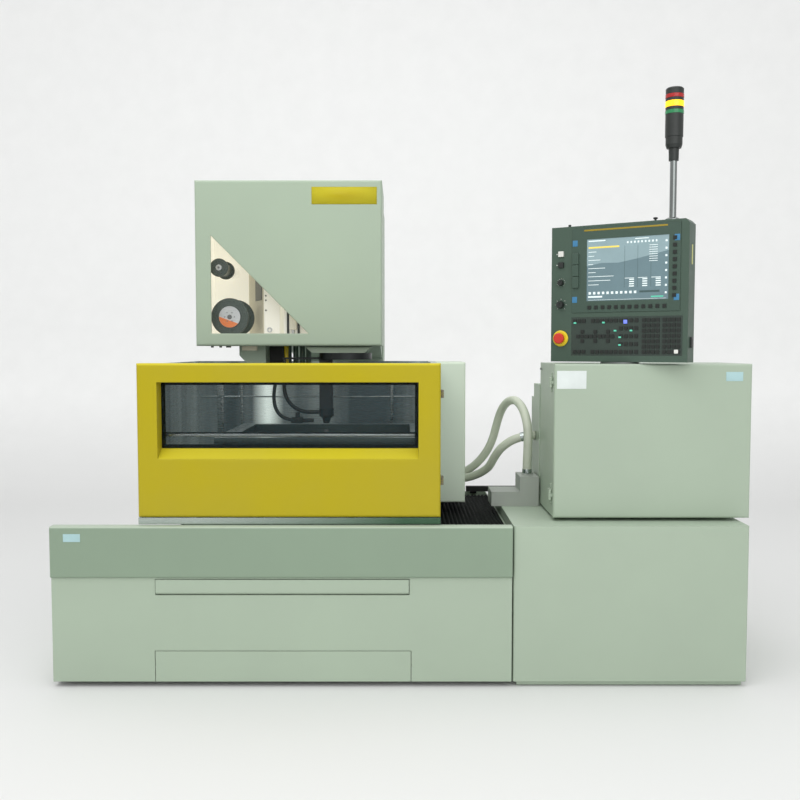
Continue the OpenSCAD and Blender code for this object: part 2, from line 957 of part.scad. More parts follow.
module seal_plate() {
    plate_l = slot_l - tank_travel_left - seal_margin;
    plate_r = slot_r + tank_travel_right + seal_margin;
    plate_y = tank_back + slip;
    color([0.62, 0.64, 0.64])
        difference() {
            union() {
                block(plate_l, plate_r, plate_y, plate_y + seal_t, slot_z - seal_margin,
                    slot_z + slot_h + seal_margin);
                for (x = [stem_l + seal_leg_w, stem_r - 2 * seal_leg_w])
                    block(x, x + seal_leg_w, plate_y, plate_y + seal_t, plinth_z,
                        slot_z - seal_margin + over);
            }
            block(wire_x - arm_w / 2 - slip, wire_x + arm_w / 2 + slip, plate_y - over,
                plate_y + seal_t + over, arm_z - slip, arm_z + arm_h + slip);
        }
}

module cable_tray() {
    color([0.08, 0.08, 0.08]) {
        difference() {
            block(tray_l, tray_l + tray_w, tray_y, tray_y + tray_d, tray_z, tray_z + tray_h);
            block(tray_l - over, tray_l + tray_w + over, tray_y + sheet_t, tray_y + tray_d - sheet_t,
                tray_z + sheet_t, tray_z + tray_h + over);
        }
        block(tray_l + fold, tray_l + fold + tray_foot_w, tray_y + tray_d - over, cross_back,
            tray_z, tray_z + sheet_t);
        block(tray_l + fold, tray_l + fold + tray_foot_w, cross_back - 2 * sheet_t, cross_back,
            tray_z - fold, tray_z + sheet_t);
    }
}

module fluid_cabinet() {
    color([0.69, 0.78, 0.70]) {
        difference() {
            translate([fluid_left, 0, foot_gap])
                linear_extrude(height = bed_top - foot_gap)
                    translate([0, fluid_front])
                        front_round(fluid_w, fluid_d, edge_r);
            block(fluid_left + fluid_wall, fluid_right - fluid_wall, fluid_front + fluid_wall,
                fluid_back - fluid_wall, foot_gap + fluid_wall, bed_top - fluid_wall);
        }
    }
    color([0.2, 0.22, 0.2])
        difference() {
            block(fluid_left + skirt_in, fluid_right - skirt_in, fluid_front + skirt_in,
                fluid_back - skirt_in, skirt_gap, foot_gap);
            block(fluid_left + skirt_in + fluid_wall, fluid_right - skirt_in - fluid_wall,
                fluid_front + skirt_in + fluid_wall, fluid_back - skirt_in - fluid_wall,
                skirt_gap - over, foot_gap + over);
        }
}

module filter_canisters() {
    floor_z = foot_gap + fluid_wall;
    color("lightgray")
        for (x = filter_xs)
            translate([x, filter_y, floor_z])
                rotate_extrude($fn = fine)
                    polygon([[0, 0], [filter_r, 0], [filter_r, filter_h],
                        [filter_r - filter_r / 10, filter_h + filter_r / 10], [filter_r / 4, filter_h + filter_r / 10],
                        [filter_r / 4, filter_h + filter_r / 3], [0, filter_h + filter_r / 3]]);
}

module fluid_pump() {
    floor_z = foot_gap + fluid_wall;
    color("steelblue") {
        block(pump_x - pump_base / 2, pump_x + pump_base / 2, pump_y - pump_base / 2,
            pump_y + pump_base / 2, floor_z, floor_z + pump_r);
        translate([pump_x, pump_y, floor_z + pump_r])
            rotate_extrude($fn = fine)
                polygon([[0, 0], [pump_r, 0], [pump_r, pump_h - pump_r], [pump_r * 0.9, pump_h - pump_r],
                    [pump_r * 0.9, pump_h], [0, pump_h]]);
    }
}

module hose_manifold() {
    socket_x = manifold_l + manifold_w / 2;
    socket_y = manifold_front + manifold_d / 2;
    color([0.62, 0.65, 0.62])
        difference() {
            union() {
                block(manifold_l, manifold_l + manifold_w, manifold_front, manifold_front + manifold_d,
                    bed_top, bed_top + manifold_h);
                block(step_l, manifold_l + over, manifold_front, manifold_front + manifold_d,
                    bed_top, bed_top + step_h);
                post(socket_x, socket_y, bed_top + manifold_h - over, bed_top + manifold_h + socket_wall,
                    hose_dia / 2 + socket_wall);
            }
            post(socket_x, socket_y, bed_top + manifold_h - socket_l,
                bed_top + manifold_h + socket_wall + over, hose_dia / 2);
        }
}

// Routes of the two hoses, cabinet end first
supply_route = [[498, -515, 668], [498, -515, 708], [498, -517, 747], [499, -521, 786],
    [500, -523, 826], [500, -520, 865], [498, -508, 902], [493, -487, 935], [485, -459, 962],
    [476, -426, 980], [465, -389, 990], [453, -351, 989], [441, -315, 979], [429, -282, 960],
    [419, -256, 933], [410, -236, 899], [402, -223, 863], [393, -215, 825], [380, -209, 788],
    [363, -202, 754], [341, -192, 722], [316, -178, 694], [290, -160, 671], [261, -141, 652],
    [227, -125, 639], [190, -112, 630],
    [170, -110, 628], [151, -110, 628]];
return_route = [[538, -450, 850], [522, -450, 850], [505, -448, 848], [476, -442, 840], [448, -433, 828],
    [424, -420, 811], [404, -405, 791], [390, -388, 769], [379, -368, 746], [371, -347, 724],
    [362, -324, 704], [349, -300, 687], [332, -277, 672], [312, -256, 659], [290, -236, 648],
    [266, -216, 640], [241, -197, 634], [213, -182, 631], [183, -172, 629],
    [169, -170, 628], [151, -170, 628]];
hose_sides = 12;

function unit(v) = v / norm(v);
function tangent(p, i) = unit(p[min(i + 1, len(p) - 1)] - p[max(i - 1, 0)]);
function side_of(t) = unit(cross(t, abs(t[2]) > 0.9 ? [0, 1, 0] : [0, 0, 1]));

// Side vectors carried along a route so that its rings don't twist
function carried(p, i, s) = unit(s - (s * tangent(p, i)) * tangent(p, i));
function sides(p, i = 0, s = [1, 0, 0]) =
    i == len(p) ? [] : let(n = carried(p, i, s)) concat([n], sides(p, i + 1, n));

// One tube swept along the points of a route
module route_tube(p, r) {
    n = hose_sides;
    start = abs(tangent(p, 0)[0]) > 0.9 ? [0, 1, 0] : [1, 0, 0];
    side = sides(p, 0, start);
    rings = [for (i = [0:len(p) - 1])
        let(t = tangent(p, i), u = side[i], v = cross(t, u))
        for (k = [0:n - 1]) p[i] + r * (cos(360 * k / n) * u + sin(360 * k / n) * v)];
    last = (len(p) - 1) * n;
    walls = [for (i = [0:len(p) - 2])
        for (k = [0:n - 1])
            let(a = i * n + k, b = i * n + (k + 1) % n)
            each [[a, a + n, b], [b, a + n, b + n]]];
    caps = concat([for (k = [1:n - 2]) [0, k, k + 1]],
        [for (k = [1:n - 2]) [last, last + k + 1, last + k]]);
    polyhedron(points = rings, faces = concat(walls, caps), convexity = 6);
}

module supply_hose() {
    color([0.86, 0.86, 0.78])
        route_tube(supply_route, hose_dia / 2 - slip);
}

module return_hose() {
    color([0.86, 0.86, 0.78])
        route_tube(return_route, hose_dia / 2 - slip);
}

module control_cabinet() {
    shell_front = control_front + control_door_t + drawer_gap;
    color([0.69, 0.78, 0.70]) {
        difference() {
            block(control_x + control_inset, control_x + control_w - control_inset, shell_front,
                control_back, control_z, control_top);
            block(control_x + control_inset + control_wall,
                control_x + control_w - control_inset - control_wall, shell_front - over,
                control_back - control_wall, control_z + control_wall, control_top - control_wall);
            post(pivot_place()[0], pivot_place()[1], control_top - 2 * control_wall,
                control_top + over, pivot_r / 2);
        }
        for (x = [control_x + foot_pad, control_x + control_w - 2 * foot_pad])
            for (y = [shell_front + foot_pad / 2, control_back - 1.5 * foot_pad])
                block(x, x + foot_pad, y, y + foot_pad, bed_top, control_z);
        for (z = control_hinge_zs)
            control_hinge(z);
    }
}

// Place of the swivel axis of the operator panel
function pivot_place() = [
    panel_x + pivot_x * cos(panel_turn) + pivot_y * sin(panel_turn),
    panel_y - pivot_x * sin(panel_turn) + pivot_y * cos(panel_turn)];

module amplifier_rack() {
    rack_l = control_x + rack_inset;
    rack_w = control_w - 2 * rack_inset;
    rack_back = control_back - control_wall;
    pitch = rack_w / amp_count;
    color([0.75, 0.76, 0.74]) {
        block(rack_l, rack_l + rack_w, rack_back - rack_t, rack_back, control_z + rack_inset,
            control_top - rack_inset);
        for (i = [0:amp_count - 1])
            block(rack_l + (i + 0.5) * pitch - amp_w / 2, rack_l + (i + 0.5) * pitch + amp_w / 2,
                rack_back - rack_t - amp_d, rack_back - rack_t + over,
                control_top - rack_inset - amp_h - rack_t, control_top - rack_inset - rack_t);
    }
}

module heat_exchanger() {
    y1 = control_back + exchanger_ds[0];
    color([0.64, 0.72, 0.65])
        difference() {
            union() {
                block(control_x, control_x + control_w - edge_r, control_back, y1, bed_top,
                    control_top - exchanger_downs[0]);
                block(control_x, control_x + control_w - edge_r, y1 - over, y1 + exchanger_ds[1],
                    bed_top, control_top - exchanger_downs[1]);
            }
            for (i = [2:louvre_count])
                block(control_x + rack_inset, control_x + control_w / 2,
                    y1 + exchanger_ds[1] - edge_r, y1 + exchanger_ds[1] + over,
                    bed_top + i * louvre_pitch, bed_top + (i + 0.4) * louvre_pitch);
        }
}

module swivel_post() {
    color("dimgray")
        translate([pivot_place()[0], pivot_place()[1], control_top])
            rotate_extrude($fn = fine)
                polygon([[0, 0], [pivot_flange_r, 0], [pivot_flange_r, panel_z - control_top - slip],
                    [pivot_r, panel_z - control_top - slip], [pivot_r, panel_z - control_top + pivot_h],
                    [0, panel_z - control_top + pivot_h]]);
}

module tool_drawer() {
    z0 = drawer_top - drawer_h;
    color([0.66, 0.75, 0.67])
        difference() {
            union() {
                along_x(drawer_left, drawer_left + drawer_w)
                    polygon([[y_panel - band_proud / 2, z0 + drawer_lip], [y_panel + sheet_t, z0],
                        [y_panel + fold, z0], [y_panel + fold, drawer_top],
                        [y_panel - band_proud / 2, drawer_top]]);
                block(drawer_left, drawer_left + drawer_w, y_panel + fold - over, y_panel + drawer_d,
                    z0, drawer_top - drawer_lip);
            }
            block(drawer_left + drawer_wall, drawer_left + drawer_w - drawer_wall, y_panel + fold,
                y_panel + drawer_d - drawer_wall, z0 + drawer_wall, drawer_top + over);
        }
}

module control_door() {
    knuckle_h = control_hinge_h / 3;
    color([0.69, 0.78, 0.70])
        pan(control_x, control_x + control_w, control_front, control_front + control_door_t,
            control_z, control_top, control_wall, edge_r);
    color([0.45, 0.43, 0.38])
        for (z = control_hinge_zs)
            difference() {
                union() {
                    post(control_axis_x, control_axis_y, z - knuckle_h / 2, z + knuckle_h / 2,
                        control_hinge_r);
                    block(control_axis_x, control_x + over / 2, control_axis_y - 2 * control_hinge_r,
                        control_axis_y, z - knuckle_h / 2, z + knuckle_h / 2);
                }
                post(control_axis_x, control_axis_y, z - control_hinge_h, z + control_hinge_h,
                    control_hinge_r / 2 + fit);
            }
}

// The cabinet's half of a door hinge: two knuckles, their leaf and the pin
module control_hinge(z) {
    cheek = (control_hinge_h - control_hinge_h / 3) / 2 - slip;
    post(control_axis_x, control_axis_y, z - control_hinge_h / 2, z + control_hinge_h / 2,
        control_hinge_r / 2);
    for (z0 = [z - control_hinge_h / 2, z + control_hinge_h / 2 - cheek]) {
        difference() {
            union() {
                post(control_axis_x, control_axis_y, z0, z0 + cheek, control_hinge_r);
                block(control_axis_x, control_x, control_axis_y + drawer_gap, control_axis_y + 2 * fold,
                    z0, z0 + cheek);
            }
            post(control_axis_x, control_axis_y, z0 - over, z0 + cheek + over, control_hinge_r / 2 - slip);
        }
    }
    block(control_x - over, control_x + control_inset, control_axis_y + fold, control_axis_y + 2 * fold,
        z - control_hinge_h, z + control_hinge_h);
}

// Puts its children in the frame of the operator panel at rest
module on_panel() {
    translate([panel_x, panel_y, panel_z])
        rotate([0, 0, -panel_turn])
            children();
}

module panel_housing() {
    ring_hole = stop_stem_r + fit;
    knob_hole = knob_stem_r + fit;
    color([0.29, 0.39, 0.33])
        on_panel()
            difference() {
                along_y(0, panel_t)
                    polygon([[0, 0], [panel_w, 0], [panel_w, panel_h - panel_chamfer],
                        [panel_w - panel_chamfer, panel_h], [0, panel_h]]);
                post(pivot_x, pivot_y, -over, pivot_h + 2 * slip, pivot_r + fit);
                block(bezel_x, bezel_x + bezel_w, -over, bezel_t, bezel_z, bezel_z + bezel_h);
                block(key_panel_x, key_panel_x + key_panel_w, -over, key_panel_t, key_panel_z,
                    key_panel_z + key_panel_h);
                for (z = [white_z, black_z])
                    block(button_x - push_size / 2 - fit, button_x + push_size / 2 + fit, -over,
                        push_depth + push_travel + slip, z - push_size / 2 - fit, z + push_size / 2 + fit);
                for (z = [knob_z, mode_z])
                    rod_y(button_x, z, -over, knob_stem + slip, knob_hole);
                rod_y(button_x, stop_z, -over, stop_rise + stop_travel, ring_hole);
            }
}

module screen_bezel() {
    color([0.25, 0.34, 0.29])
        on_panel()
            difference() {
                union() {
                    block(bezel_x, bezel_x + bezel_w, -bezel_t / 2, bezel_t, bezel_z,
                        bezel_z + bezel_h);
                    for (up = port_ups)
                        block(bezel_x + port_x, bezel_x + port_x + port_w, -2 * bezel_t,
                            -bezel_t / 2 + over / 2, bezel_z + up, bezel_z + up + port_h);
                }
                block(screen_x, screen_x + screen_w, -bezel_t, bezel_t - screen_t + over,
                    screen_z, screen_z + screen_h);
            }
}

module screen_glass() {
    color([0.55, 0.68, 0.75])
        on_panel()
            block(screen_x, screen_x + screen_w, bezel_t - screen_t - slip - screen_back, bezel_t - screen_t + over,
                screen_z, screen_z + screen_h);
}

module key_panel() {
    color([0.16, 0.2, 0.18])
        on_panel()
            block(key_panel_x, key_panel_x + key_panel_w, -slip, key_panel_t, key_panel_z,
                key_panel_z + key_panel_h);
}

module key_caps() {
    color([0.1, 0.1, 0.1])
        on_panel() {
            for (i = [0:soft_keys - 1])
                key(screen_x + (i + 0.5) * screen_w / soft_keys, screen_z - soft_key_down, -bezel_t / 2);
            for (i = [0:side_keys - 1])
                key(bezel_x + bezel_w - side_key_in, screen_z + (i + 0.5) * screen_h / side_keys, -bezel_t / 2);
            for (x = jog_xs)
                jog_cluster(key_panel_x + x);
            for (i = [0:row_keys - 1])
                for (z = [key_panel_z + key_edge, key_panel_z + key_panel_h - key_edge])
                    if (i != row_skip)
                        key(key_panel_x + key_edge + i * row_pitch, z, -slip);
            for (b = [0:len(block_key_xs) - 1])
                key_block(key_panel_x + block_key_xs[b], block_key_pitches[b], block_key_rows[b]);
        }
}

// A block of keys on the key panel, its rows spread over the panel's height
module key_block(x, pitch, rows) {
    step = (key_panel_h - 2 * key_edge) / (rows - 1);
    for (i = [0:block_columns - 1])
        for (j = [0:rows - 1])
            key(x + i * pitch, key_panel_z + key_edge + j * step, -slip);
}

// One square key standing on a face at depth y
module key(x, z, y) {
    block(x - key_size / 2, x + key_size / 2, y - key_rise, y, z - key_size / 2, z + key_size / 2);
}

// A cross of five jog keys
module jog_cluster(x) {
    z = key_panel_z + key_panel_h / 2;
    for (p = [[0, 0], [-1, 0], [1, 0], [0, 1], [0, -1]])
        key(x + p[0] * jog_step, z + p[1] * jog_step, -slip);
}

module emergency_ring() {
    color([0.95, 0.8, 0.1])
        on_panel()
            translate([button_x, 0, stop_z])
                rotate([90, 0, 0])
                    rotate_extrude($fn = fine)
                        polygon([[stop_stem_r + fit, 0], [stop_ring_r, 0],
                            [stop_ring_r, stop_ring_h / 2], [stop_ring_r - stop_ring_h / 2, stop_ring_h],
                            [stop_stem_r + fit, stop_ring_h]]);
}

module emergency_button() {
    color([0.8, 0.1, 0.08])
        on_panel()
            translate([button_x, 0, stop_z])
                rotate([90, 0, 0])
                    rotate_extrude($fn = fine)
                        polygon([[0, -stop_rise + stop_travel], [stop_stem_r, -stop_rise + stop_travel],
                            [stop_stem_r, stop_ring_h + stop_travel + slip],
                            [stop_r, stop_ring_h + stop_travel + slip],
                            [stop_r, stop_ring_h + stop_travel + stop_cap_h - stop_cap_h / 4],
                            [stop_r - stop_cap_h / 4, stop_ring_h + stop_travel + stop_cap_h],
                            [0, stop_ring_h + stop_travel + stop_cap_h]]);
}

// A square push button in its pocket
module push_button(z) {
    on_panel()
        block(button_x - push_size / 2, button_x + push_size / 2, -push_rise, push_depth,
            z - push_size / 2, z + push_size / 2);
}

module white_button() {
    color([0.95, 0.95, 0.92])
        push_button(white_z);
}

module black_button() {
    color([0.1, 0.1, 0.1])
        push_button(black_z);
}

// A round knob on its stem, with a pointer rib
module turn_knob(z, r, h) {
    on_panel()
        translate([button_x, 0, z])
            rotate([90, 0, 0]) {
                rotate_extrude($fn = fine)
                    polygon([[0, -knob_stem], [knob_stem_r, -knob_stem], [knob_stem_r, slip],
                        [r, slip], [r, h / 2], [r * 0.85, h], [0, h]]);
                translate([-r * 0.15, 0, h - over])
                    cube([r * 0.3, r * 0.8, h / 6 + over]);
            }
}

module feed_knob() {
    color([0.12, 0.12, 0.12])
        turn_knob(knob_z, knob_r, knob_h);
}

module mode_knob() {
    color([0.12, 0.12, 0.12])
        turn_knob(mode_z, mode_r, mode_h);
}

module signal_pole() {
    color("silver")
        on_panel()
            translate([pole_x, panel_t / 2, panel_h])
                rotate_extrude($fn = fine)
                    polygon([[0, 0], [pole_foot_r, 0], [pole_foot_r, pole_foot_h / 2],
                        [pole_r + pole_foot_h / 2, pole_foot_h], [pole_r, pole_foot_h],
                        [pole_r, pole_h], [0, pole_h]]);
}

tower_z = panel_h + pole_h;
body_top = tower_z + neck_len + collar_h + body_h;
tower_top = body_top + lens_ups[2] + lens_hs[2] + cap_h;

module signal_body() {
    collar_z = tower_z + neck_len;
    neck_r = pole_r + lens_wall;
    core = lamp_r - lens_wall;
    color([0.12, 0.14, 0.13])
        on_panel()
            translate([pole_x, panel_t / 2, 0])
                rotate_extrude($fn = fine)
                    polygon(concat(
                        [[0, tower_z], [neck_r - lens_proud, tower_z], [neck_r, collar_z],
                            [core, collar_z], [lamp_r - 2 * lens_proud, collar_z + collar_h / 3],
                            [lamp_r - 2 * lens_proud, collar_z + collar_h],
                            [lamp_r, collar_z + collar_h + lens_proud]],
                        [for (i = [0:2]) let(z = body_top + lens_ups[i]) each [[lamp_r, z], [core, z],
                            [core, z + lens_hs[i]], [lamp_r, z + lens_hs[i]]]],
                        [[lamp_r, tower_top - cap_slope], [lamp_r - cap_slope, tower_top],
                            [0, tower_top]]));
}

// A lens ring of the signal tower, from the number of its place
module signal_lens(i) {
    on_panel()
        translate([pole_x, panel_t / 2, body_top + lens_ups[i]])
            rotate_extrude($fn = fine)
                polygon([[lamp_r - lens_wall, 0], [lamp_r, 0], [lamp_r + lens_proud, lens_proud],
                    [lamp_r + lens_proud, lens_hs[i] - lens_proud], [lamp_r, lens_hs[i]],
                    [lamp_r - lens_wall, lens_hs[i]]]);
}

module lens_green() {
    color([0.1, 0.6, 0.3])
        signal_lens(0);
}

module lens_amber() {
    color([0.95, 0.7, 0.1])
        signal_lens(1);
}

module lens_red() {
    color([0.75, 0.1, 0.08])
        signal_lens(2);
}

module tank_saddle() {
    color([0.5, 0.54, 0.5]) {
        difference() {
            union() {
                block(saddle_l, saddle_r, saddle_front, saddle_back, saddle_z, saddle_z + saddle_plate);
                block(saddle_l, saddle_r, saddle_front, saddle_back, saddle_top - saddle_plate,
                    saddle_top);
                for (share = [0, 0.25, 0.5, 0.75, 1])
                    saddle_rib(saddle_l + share * (saddle_r - saddle_l - saddle_web));
                for (y = [saddle_front, saddle_back - saddle_web])
                    block(saddle_l, saddle_r, y, y + saddle_web, saddle_z, saddle_top);
                for (x = [saddle_l, saddle_r - carriage_l])
                    for (y = x_rail_ys)
                        block(x, x + carriage_l, y - carriage_w / 2, y + carriage_w / 2,
                            carriage_z, saddle_z + over);
                block(wire_x - bearing_w, wire_x + bearing_w, x_screw_y - bearing_w / 2,
                    x_screw_y + bearing_w / 2, plinth_z + slip, saddle_z + over);
            }
            for (y = x_rail_ys)
                block(saddle_l - over, saddle_r + over, y - rail_w / 2 - slip, y + rail_w / 2 + slip,
                    carriage_z - over, x_rail_z + rail_h + slip);
            rod_x(x_screw_y, x_screw_z, wire_x - bearing_w - over, wire_x + bearing_w + over,
                screw_r + fit);
        }
        block(saddle_r, saddle_r + flange_t, bellows_front, bellows_back,
            right_bellows_z - 2 * flange_t, saddle_top);
        block(saddle_l - flange_t, saddle_l, left_bellows_front, bellows_back, saddle_z, saddle_top);
    }
}

module saddle_rib(x) {
    block(x, x + saddle_web, saddle_front, saddle_back, saddle_z, saddle_top);
}

module tank_shell() {
    color([0.7, 0.72, 0.72]) {
        difference() {
            union() {
                block(door_x, door_x + door_w, door_front + sheet_t, tank_back, saddle_top,
                    tank_floor);
                difference() {
                    block(tank_x, tank_r, tank_front, tank_back, tank_floor - over, tank_top);
                    block(tank_x + tank_wall, tank_r - tank_wall, tank_front + tank_wall,
                        tank_back - tank_wall, tank_floor, tank_top + over);
                    block(tank_x + tank_jamb, tank_r - tank_jamb, tank_front - over,
                        tank_front + tank_wall + over, tank_floor + tank_sill_h, tank_top + over);
                }
                for (y = hose_ys)
                    rod_x(y, hose_z, tank_r - over, tank_r + socket_l + socket_wall,
                        hose_dia / 2 + socket_wall);
            }
            block(slot_l, slot_r, tank_back - tank_wall - over, tank_back + over, slot_z,
                slot_z + slot_h);
            for (y = hose_ys)
                rod_x(y, hose_z, tank_r + socket_l, tank_r + socket_l + socket_wall + over,
                    hose_dia / 2);
        }
        for (x = [tank_x - tank_lip, tank_r])
            block(x, x + tank_lip, tank_front, tank_back, tank_top - tank_lip_t, tank_top);
    }
}

module tank_side_box() {
    color([0.69, 0.78, 0.70]) {
        pan(service_x, service_x + service_w, service_front, service_front + service_d, service_z,
            service_z + service_h, sheet_t, edge_r);
        block(service_x, service_x + service_w, service_front + service_d - sheet_t,
            service_front + service_d, service_z, service_z + service_h);
        for (share = [0.2, 0.8])
            block(tank_r, service_x, service_front + service_d / 3, service_front + service_d * 2 / 3,
                service_z + share * service_h, service_z + share * service_h + 2 * fold);
    }
}

module work_table() {
    table_floor = table_z - table_t;
    color([0.75, 0.76, 0.77])
        difference() {
            union() {
                block(table_l, table_r, table_front, table_back, table_floor, table_z);
                for (y = [table_front, table_back - table_bar]) {
                    block(table_l, table_l + table_bar, y, y + table_bar, tank_floor,
                        table_floor + over);
                    block(table_r - leg_w, table_r, y, y + table_bar, tank_floor, table_floor + over);
                }
            }
            block(table_l + table_bar, table_r - table_bar, table_front + table_bar,
                table_back - table_bar, table_floor - over, table_z + over);
            for (i = [1:table_holes])
                for (x = [table_l + table_bar / 2, table_r - table_bar / 2])
                    post(x, table_front + i * (table_back - table_front) / (table_holes + 1),
                        table_z - table_t / 2, table_z + over, table_hole_r);
        }
}

module tank_door() {
    window_r = window_x + window_w;
    window_top = window_z + window_h;
    color([0.78, 0.71, 0.15]) {
        difference() {
            pan(door_x, door_x + door_w, door_front, door_back, door_z, door_z + door_h, sheet_t,
                skin_r);
            block(window_x, window_r, door_front - over, door_front + sheet_t + over, window_z,
                window_top);
        }
        difference() {
            block(window_x - sheet_t, window_r + sheet_t, door_front + sheet_t - over, glass_y,
                window_z - sheet_t, window_top + sheet_t);
            along_x(window_x, window_r)
                polygon([[door_front - over, window_z], [glass_y + over, window_z + sill_rise],
                    [glass_y + over, window_top], [door_front - over, window_top]]);
        }
        for (x = [window_x - 2 * fold, window_r + fold])
            block(x, x + fold, door_front + sheet_t - over, glass_y + glass_t, door_z + fold,
                door_z + door_h - fold);
    }
    color([0.5, 0.46, 0.36])
        for (z = hinge_zs)
            difference() {
                union() {
                    post(hinge_x, hinge_y, z - hinge_h / 6, z + hinge_h / 6, hinge_knuckle_r);
                    block(door_x + door_w - over / 2, hinge_x, hinge_y - hinge_knuckle_r,
                        hinge_y, z - hinge_h / 6, z + hinge_h / 6);
                }
                post(hinge_x, hinge_y, z - hinge_h, z + hinge_h, hinge_pin_r + fit);
            }
}

module window_glass() {
    color([0.75, 0.85, 0.88])
        block(window_x - glass_lap, window_x + window_w + glass_lap, glass_y, glass_y + glass_t,
            window_z + sill_rise - glass_lap, window_z + window_h + glass_lap);
}

module window_gasket() {
    glass_back = glass_y + glass_t;
    color([0.1, 0.1, 0.1])
        difference() {
            block(window_x - glass_lap, window_x + window_w + glass_lap, glass_back,
                glass_back + gasket_t, window_z + sill_rise - glass_lap, window_z + window_h + glass_lap);
            block(window_x - glass_lap + gasket_w, window_x + window_w + glass_lap - gasket_w,
                glass_back - over, glass_back + gasket_t + over,
                window_z + sill_rise - glass_lap + gasket_w, window_z + window_h + glass_lap - gasket_w);
        }
}

module door_hinges() {
    cheek = hinge_h / 3 - slip;
    color([0.5, 0.46, 0.36])
        for (z = hinge_zs) {
            post(hinge_x, hinge_y, z - hinge_h / 2, z + hinge_h / 2, hinge_pin_r);
            for (z0 = [z - hinge_h / 2, z + hinge_h / 2 - cheek])
                difference() {
                    union() {
                        post(hinge_x, hinge_y, z0, z0 + cheek, hinge_knuckle_r);
                        block(tank_r, hinge_x, tank_front + slip, tank_front + 2 * hinge_h, z0,
                            z0 + cheek);
                        block(hinge_x - hinge_pin_r / 2, hinge_x + hinge_knuckle_r, hinge_y,
                            tank_front + hinge_h, z0, z0 + cheek);
                    }
                    post(hinge_x, hinge_y, z0 - over, z0 + cheek + over, hinge_pin_r - over / 4);
                }
            block(tank_r, tank_r + service_gap / 2, tank_front + hinge_h / 2, tank_front + 2 * hinge_h,
                z - hinge_h, z + hinge_h);
        }
}

module column_casting() {
    foot_l = wire_x - column_w / 2 - foot_over;
    foot_r = wire_x + column_w / 2 + foot_over;
    column_back = column_front + column_d;
    neck_l = wire_x - neck_w / 2;
    color([0.66, 0.75, 0.67]) {
        difference() {
            union() {
                block(foot_l, foot_r, column_front - rail_end, column_back + rail_end, column_foot_z,
                    column_foot_z + column_foot_h);
                block(column_l, column_l + column_w, column_front, column_back,
                    column_foot_z + column_foot_h - over, column_top);
                along_x(neck_l, neck_l + neck_w)
                    polygon([[neck_front, neck_z], [column_front + over, neck_z - rail_seat_w],
                        [column_front + over, neck_z + neck_h], [neck_front, neck_z + neck_h]]);
                for (x = y_rail_xs)
                    for (y = [column_front, column_back - carriage_l])
                        block(x - carriage_w / 2, x + carriage_w / 2, y, y + carriage_l,
                            y_rail_z + rail_seat_h / 4, column_foot_z + over);
                block(wire_x - bearing_w / 2, wire_x + bearing_w / 2,
                    column_front + column_d / 2 - bearing_w, column_front + column_d / 2 + bearing_w,
                    stem_z + slip, column_foot_z + over);
            }
            for (x = y_rail_xs)
                block(x - rail_w / 2 - slip, x + rail_w / 2 + slip, column_front - over,
                    column_back + over, y_rail_z - over, y_rail_z + rail_h + slip);
            rod_y(wire_x, y_screw_z, column_front - over, column_back + over, screw_r + fit);
            block(column_l + casting_wall, column_l + column_w - casting_wall, column_front + casting_wall,
                column_back - casting_wall, column_foot_z + column_foot_h, column_top - casting_wall);
            block(neck_l + casting_wall, neck_l + neck_w - casting_wall, neck_front + casting_wall,
                column_front - casting_wall / 2, neck_z + casting_wall, neck_z + neck_h - casting_wall);
        }
        for (x = z_rail_xs)
            block(x - z_rail_w / 2, x + z_rail_w / 2, neck_front - z_rail_h, neck_front,
                neck_z + z_rail_margin, neck_z + neck_h - z_rail_margin);
    }
}

module lower_arm() {
    takeup_back = column_front + column_d;
    color([0.72, 0.74, 0.73]) {
        along_x(wire_x - arm_w / 2, wire_x + arm_w / 2)
            polygon([[column_front, arm_z], [column_front, arm_z + arm_h],
                [arm_tip, arm_z + arm_h], [arm_tip, arm_z + arm_taper],
                [arm_tip + arm_taper, arm_z]]);
        for (x = [wire_x - takeup_l / 2 - takeup_cheek - slip, wire_x + takeup_l / 2 + slip])
            difference() {
                block(x, x + takeup_cheek, takeup_back, takeup_y + takeup_r + takeup_cheek,
                    takeup_z - takeup_r, takeup_z + takeup_r);
                rod_x(takeup_y, takeup_z, x - over, x + takeup_cheek + over, shaft_r + fit);
            }
    }
}

module takeup_roller() {
    color([0.35, 0.37, 0.36])
        translate([wire_x - takeup_l / 2, takeup_y, takeup_z])
            rotate([0, 90, 0])
                rotate_extrude($fn = fine)
                    polygon([[0, -takeup_cheek], [shaft_r, -takeup_cheek], [shaft_r, 0], [takeup_r, 0],
                        [takeup_r, takeup_cheek / 2], [takeup_r * 0.85, takeup_cheek],
                        [takeup_r * 0.85, takeup_l - takeup_cheek], [takeup_r, takeup_l - takeup_cheek / 2],
                        [takeup_r, takeup_l], [shaft_r, takeup_l],
                        [shaft_r, takeup_l + 2 * takeup_cheek], [0, takeup_l + 2 * takeup_cheek]]);
}

module lower_guide() {
    tip_z = table_z - lower_tip_gap - arm_z - arm_h;
    color([0.2, 0.22, 0.22])
        translate([wire_x, wire_y, arm_z + arm_h])
            rotate_extrude($fn = fine)
                polygon([[0, 0], [lower_guide_r, 0], [lower_guide_r, tip_z / 2],
                    [lower_guide_r * 0.7, tip_z * 0.7], [lower_tip_r * 1.3, tip_z * 0.75],
                    [lower_tip_r, tip_z], [0, tip_z]]);
}

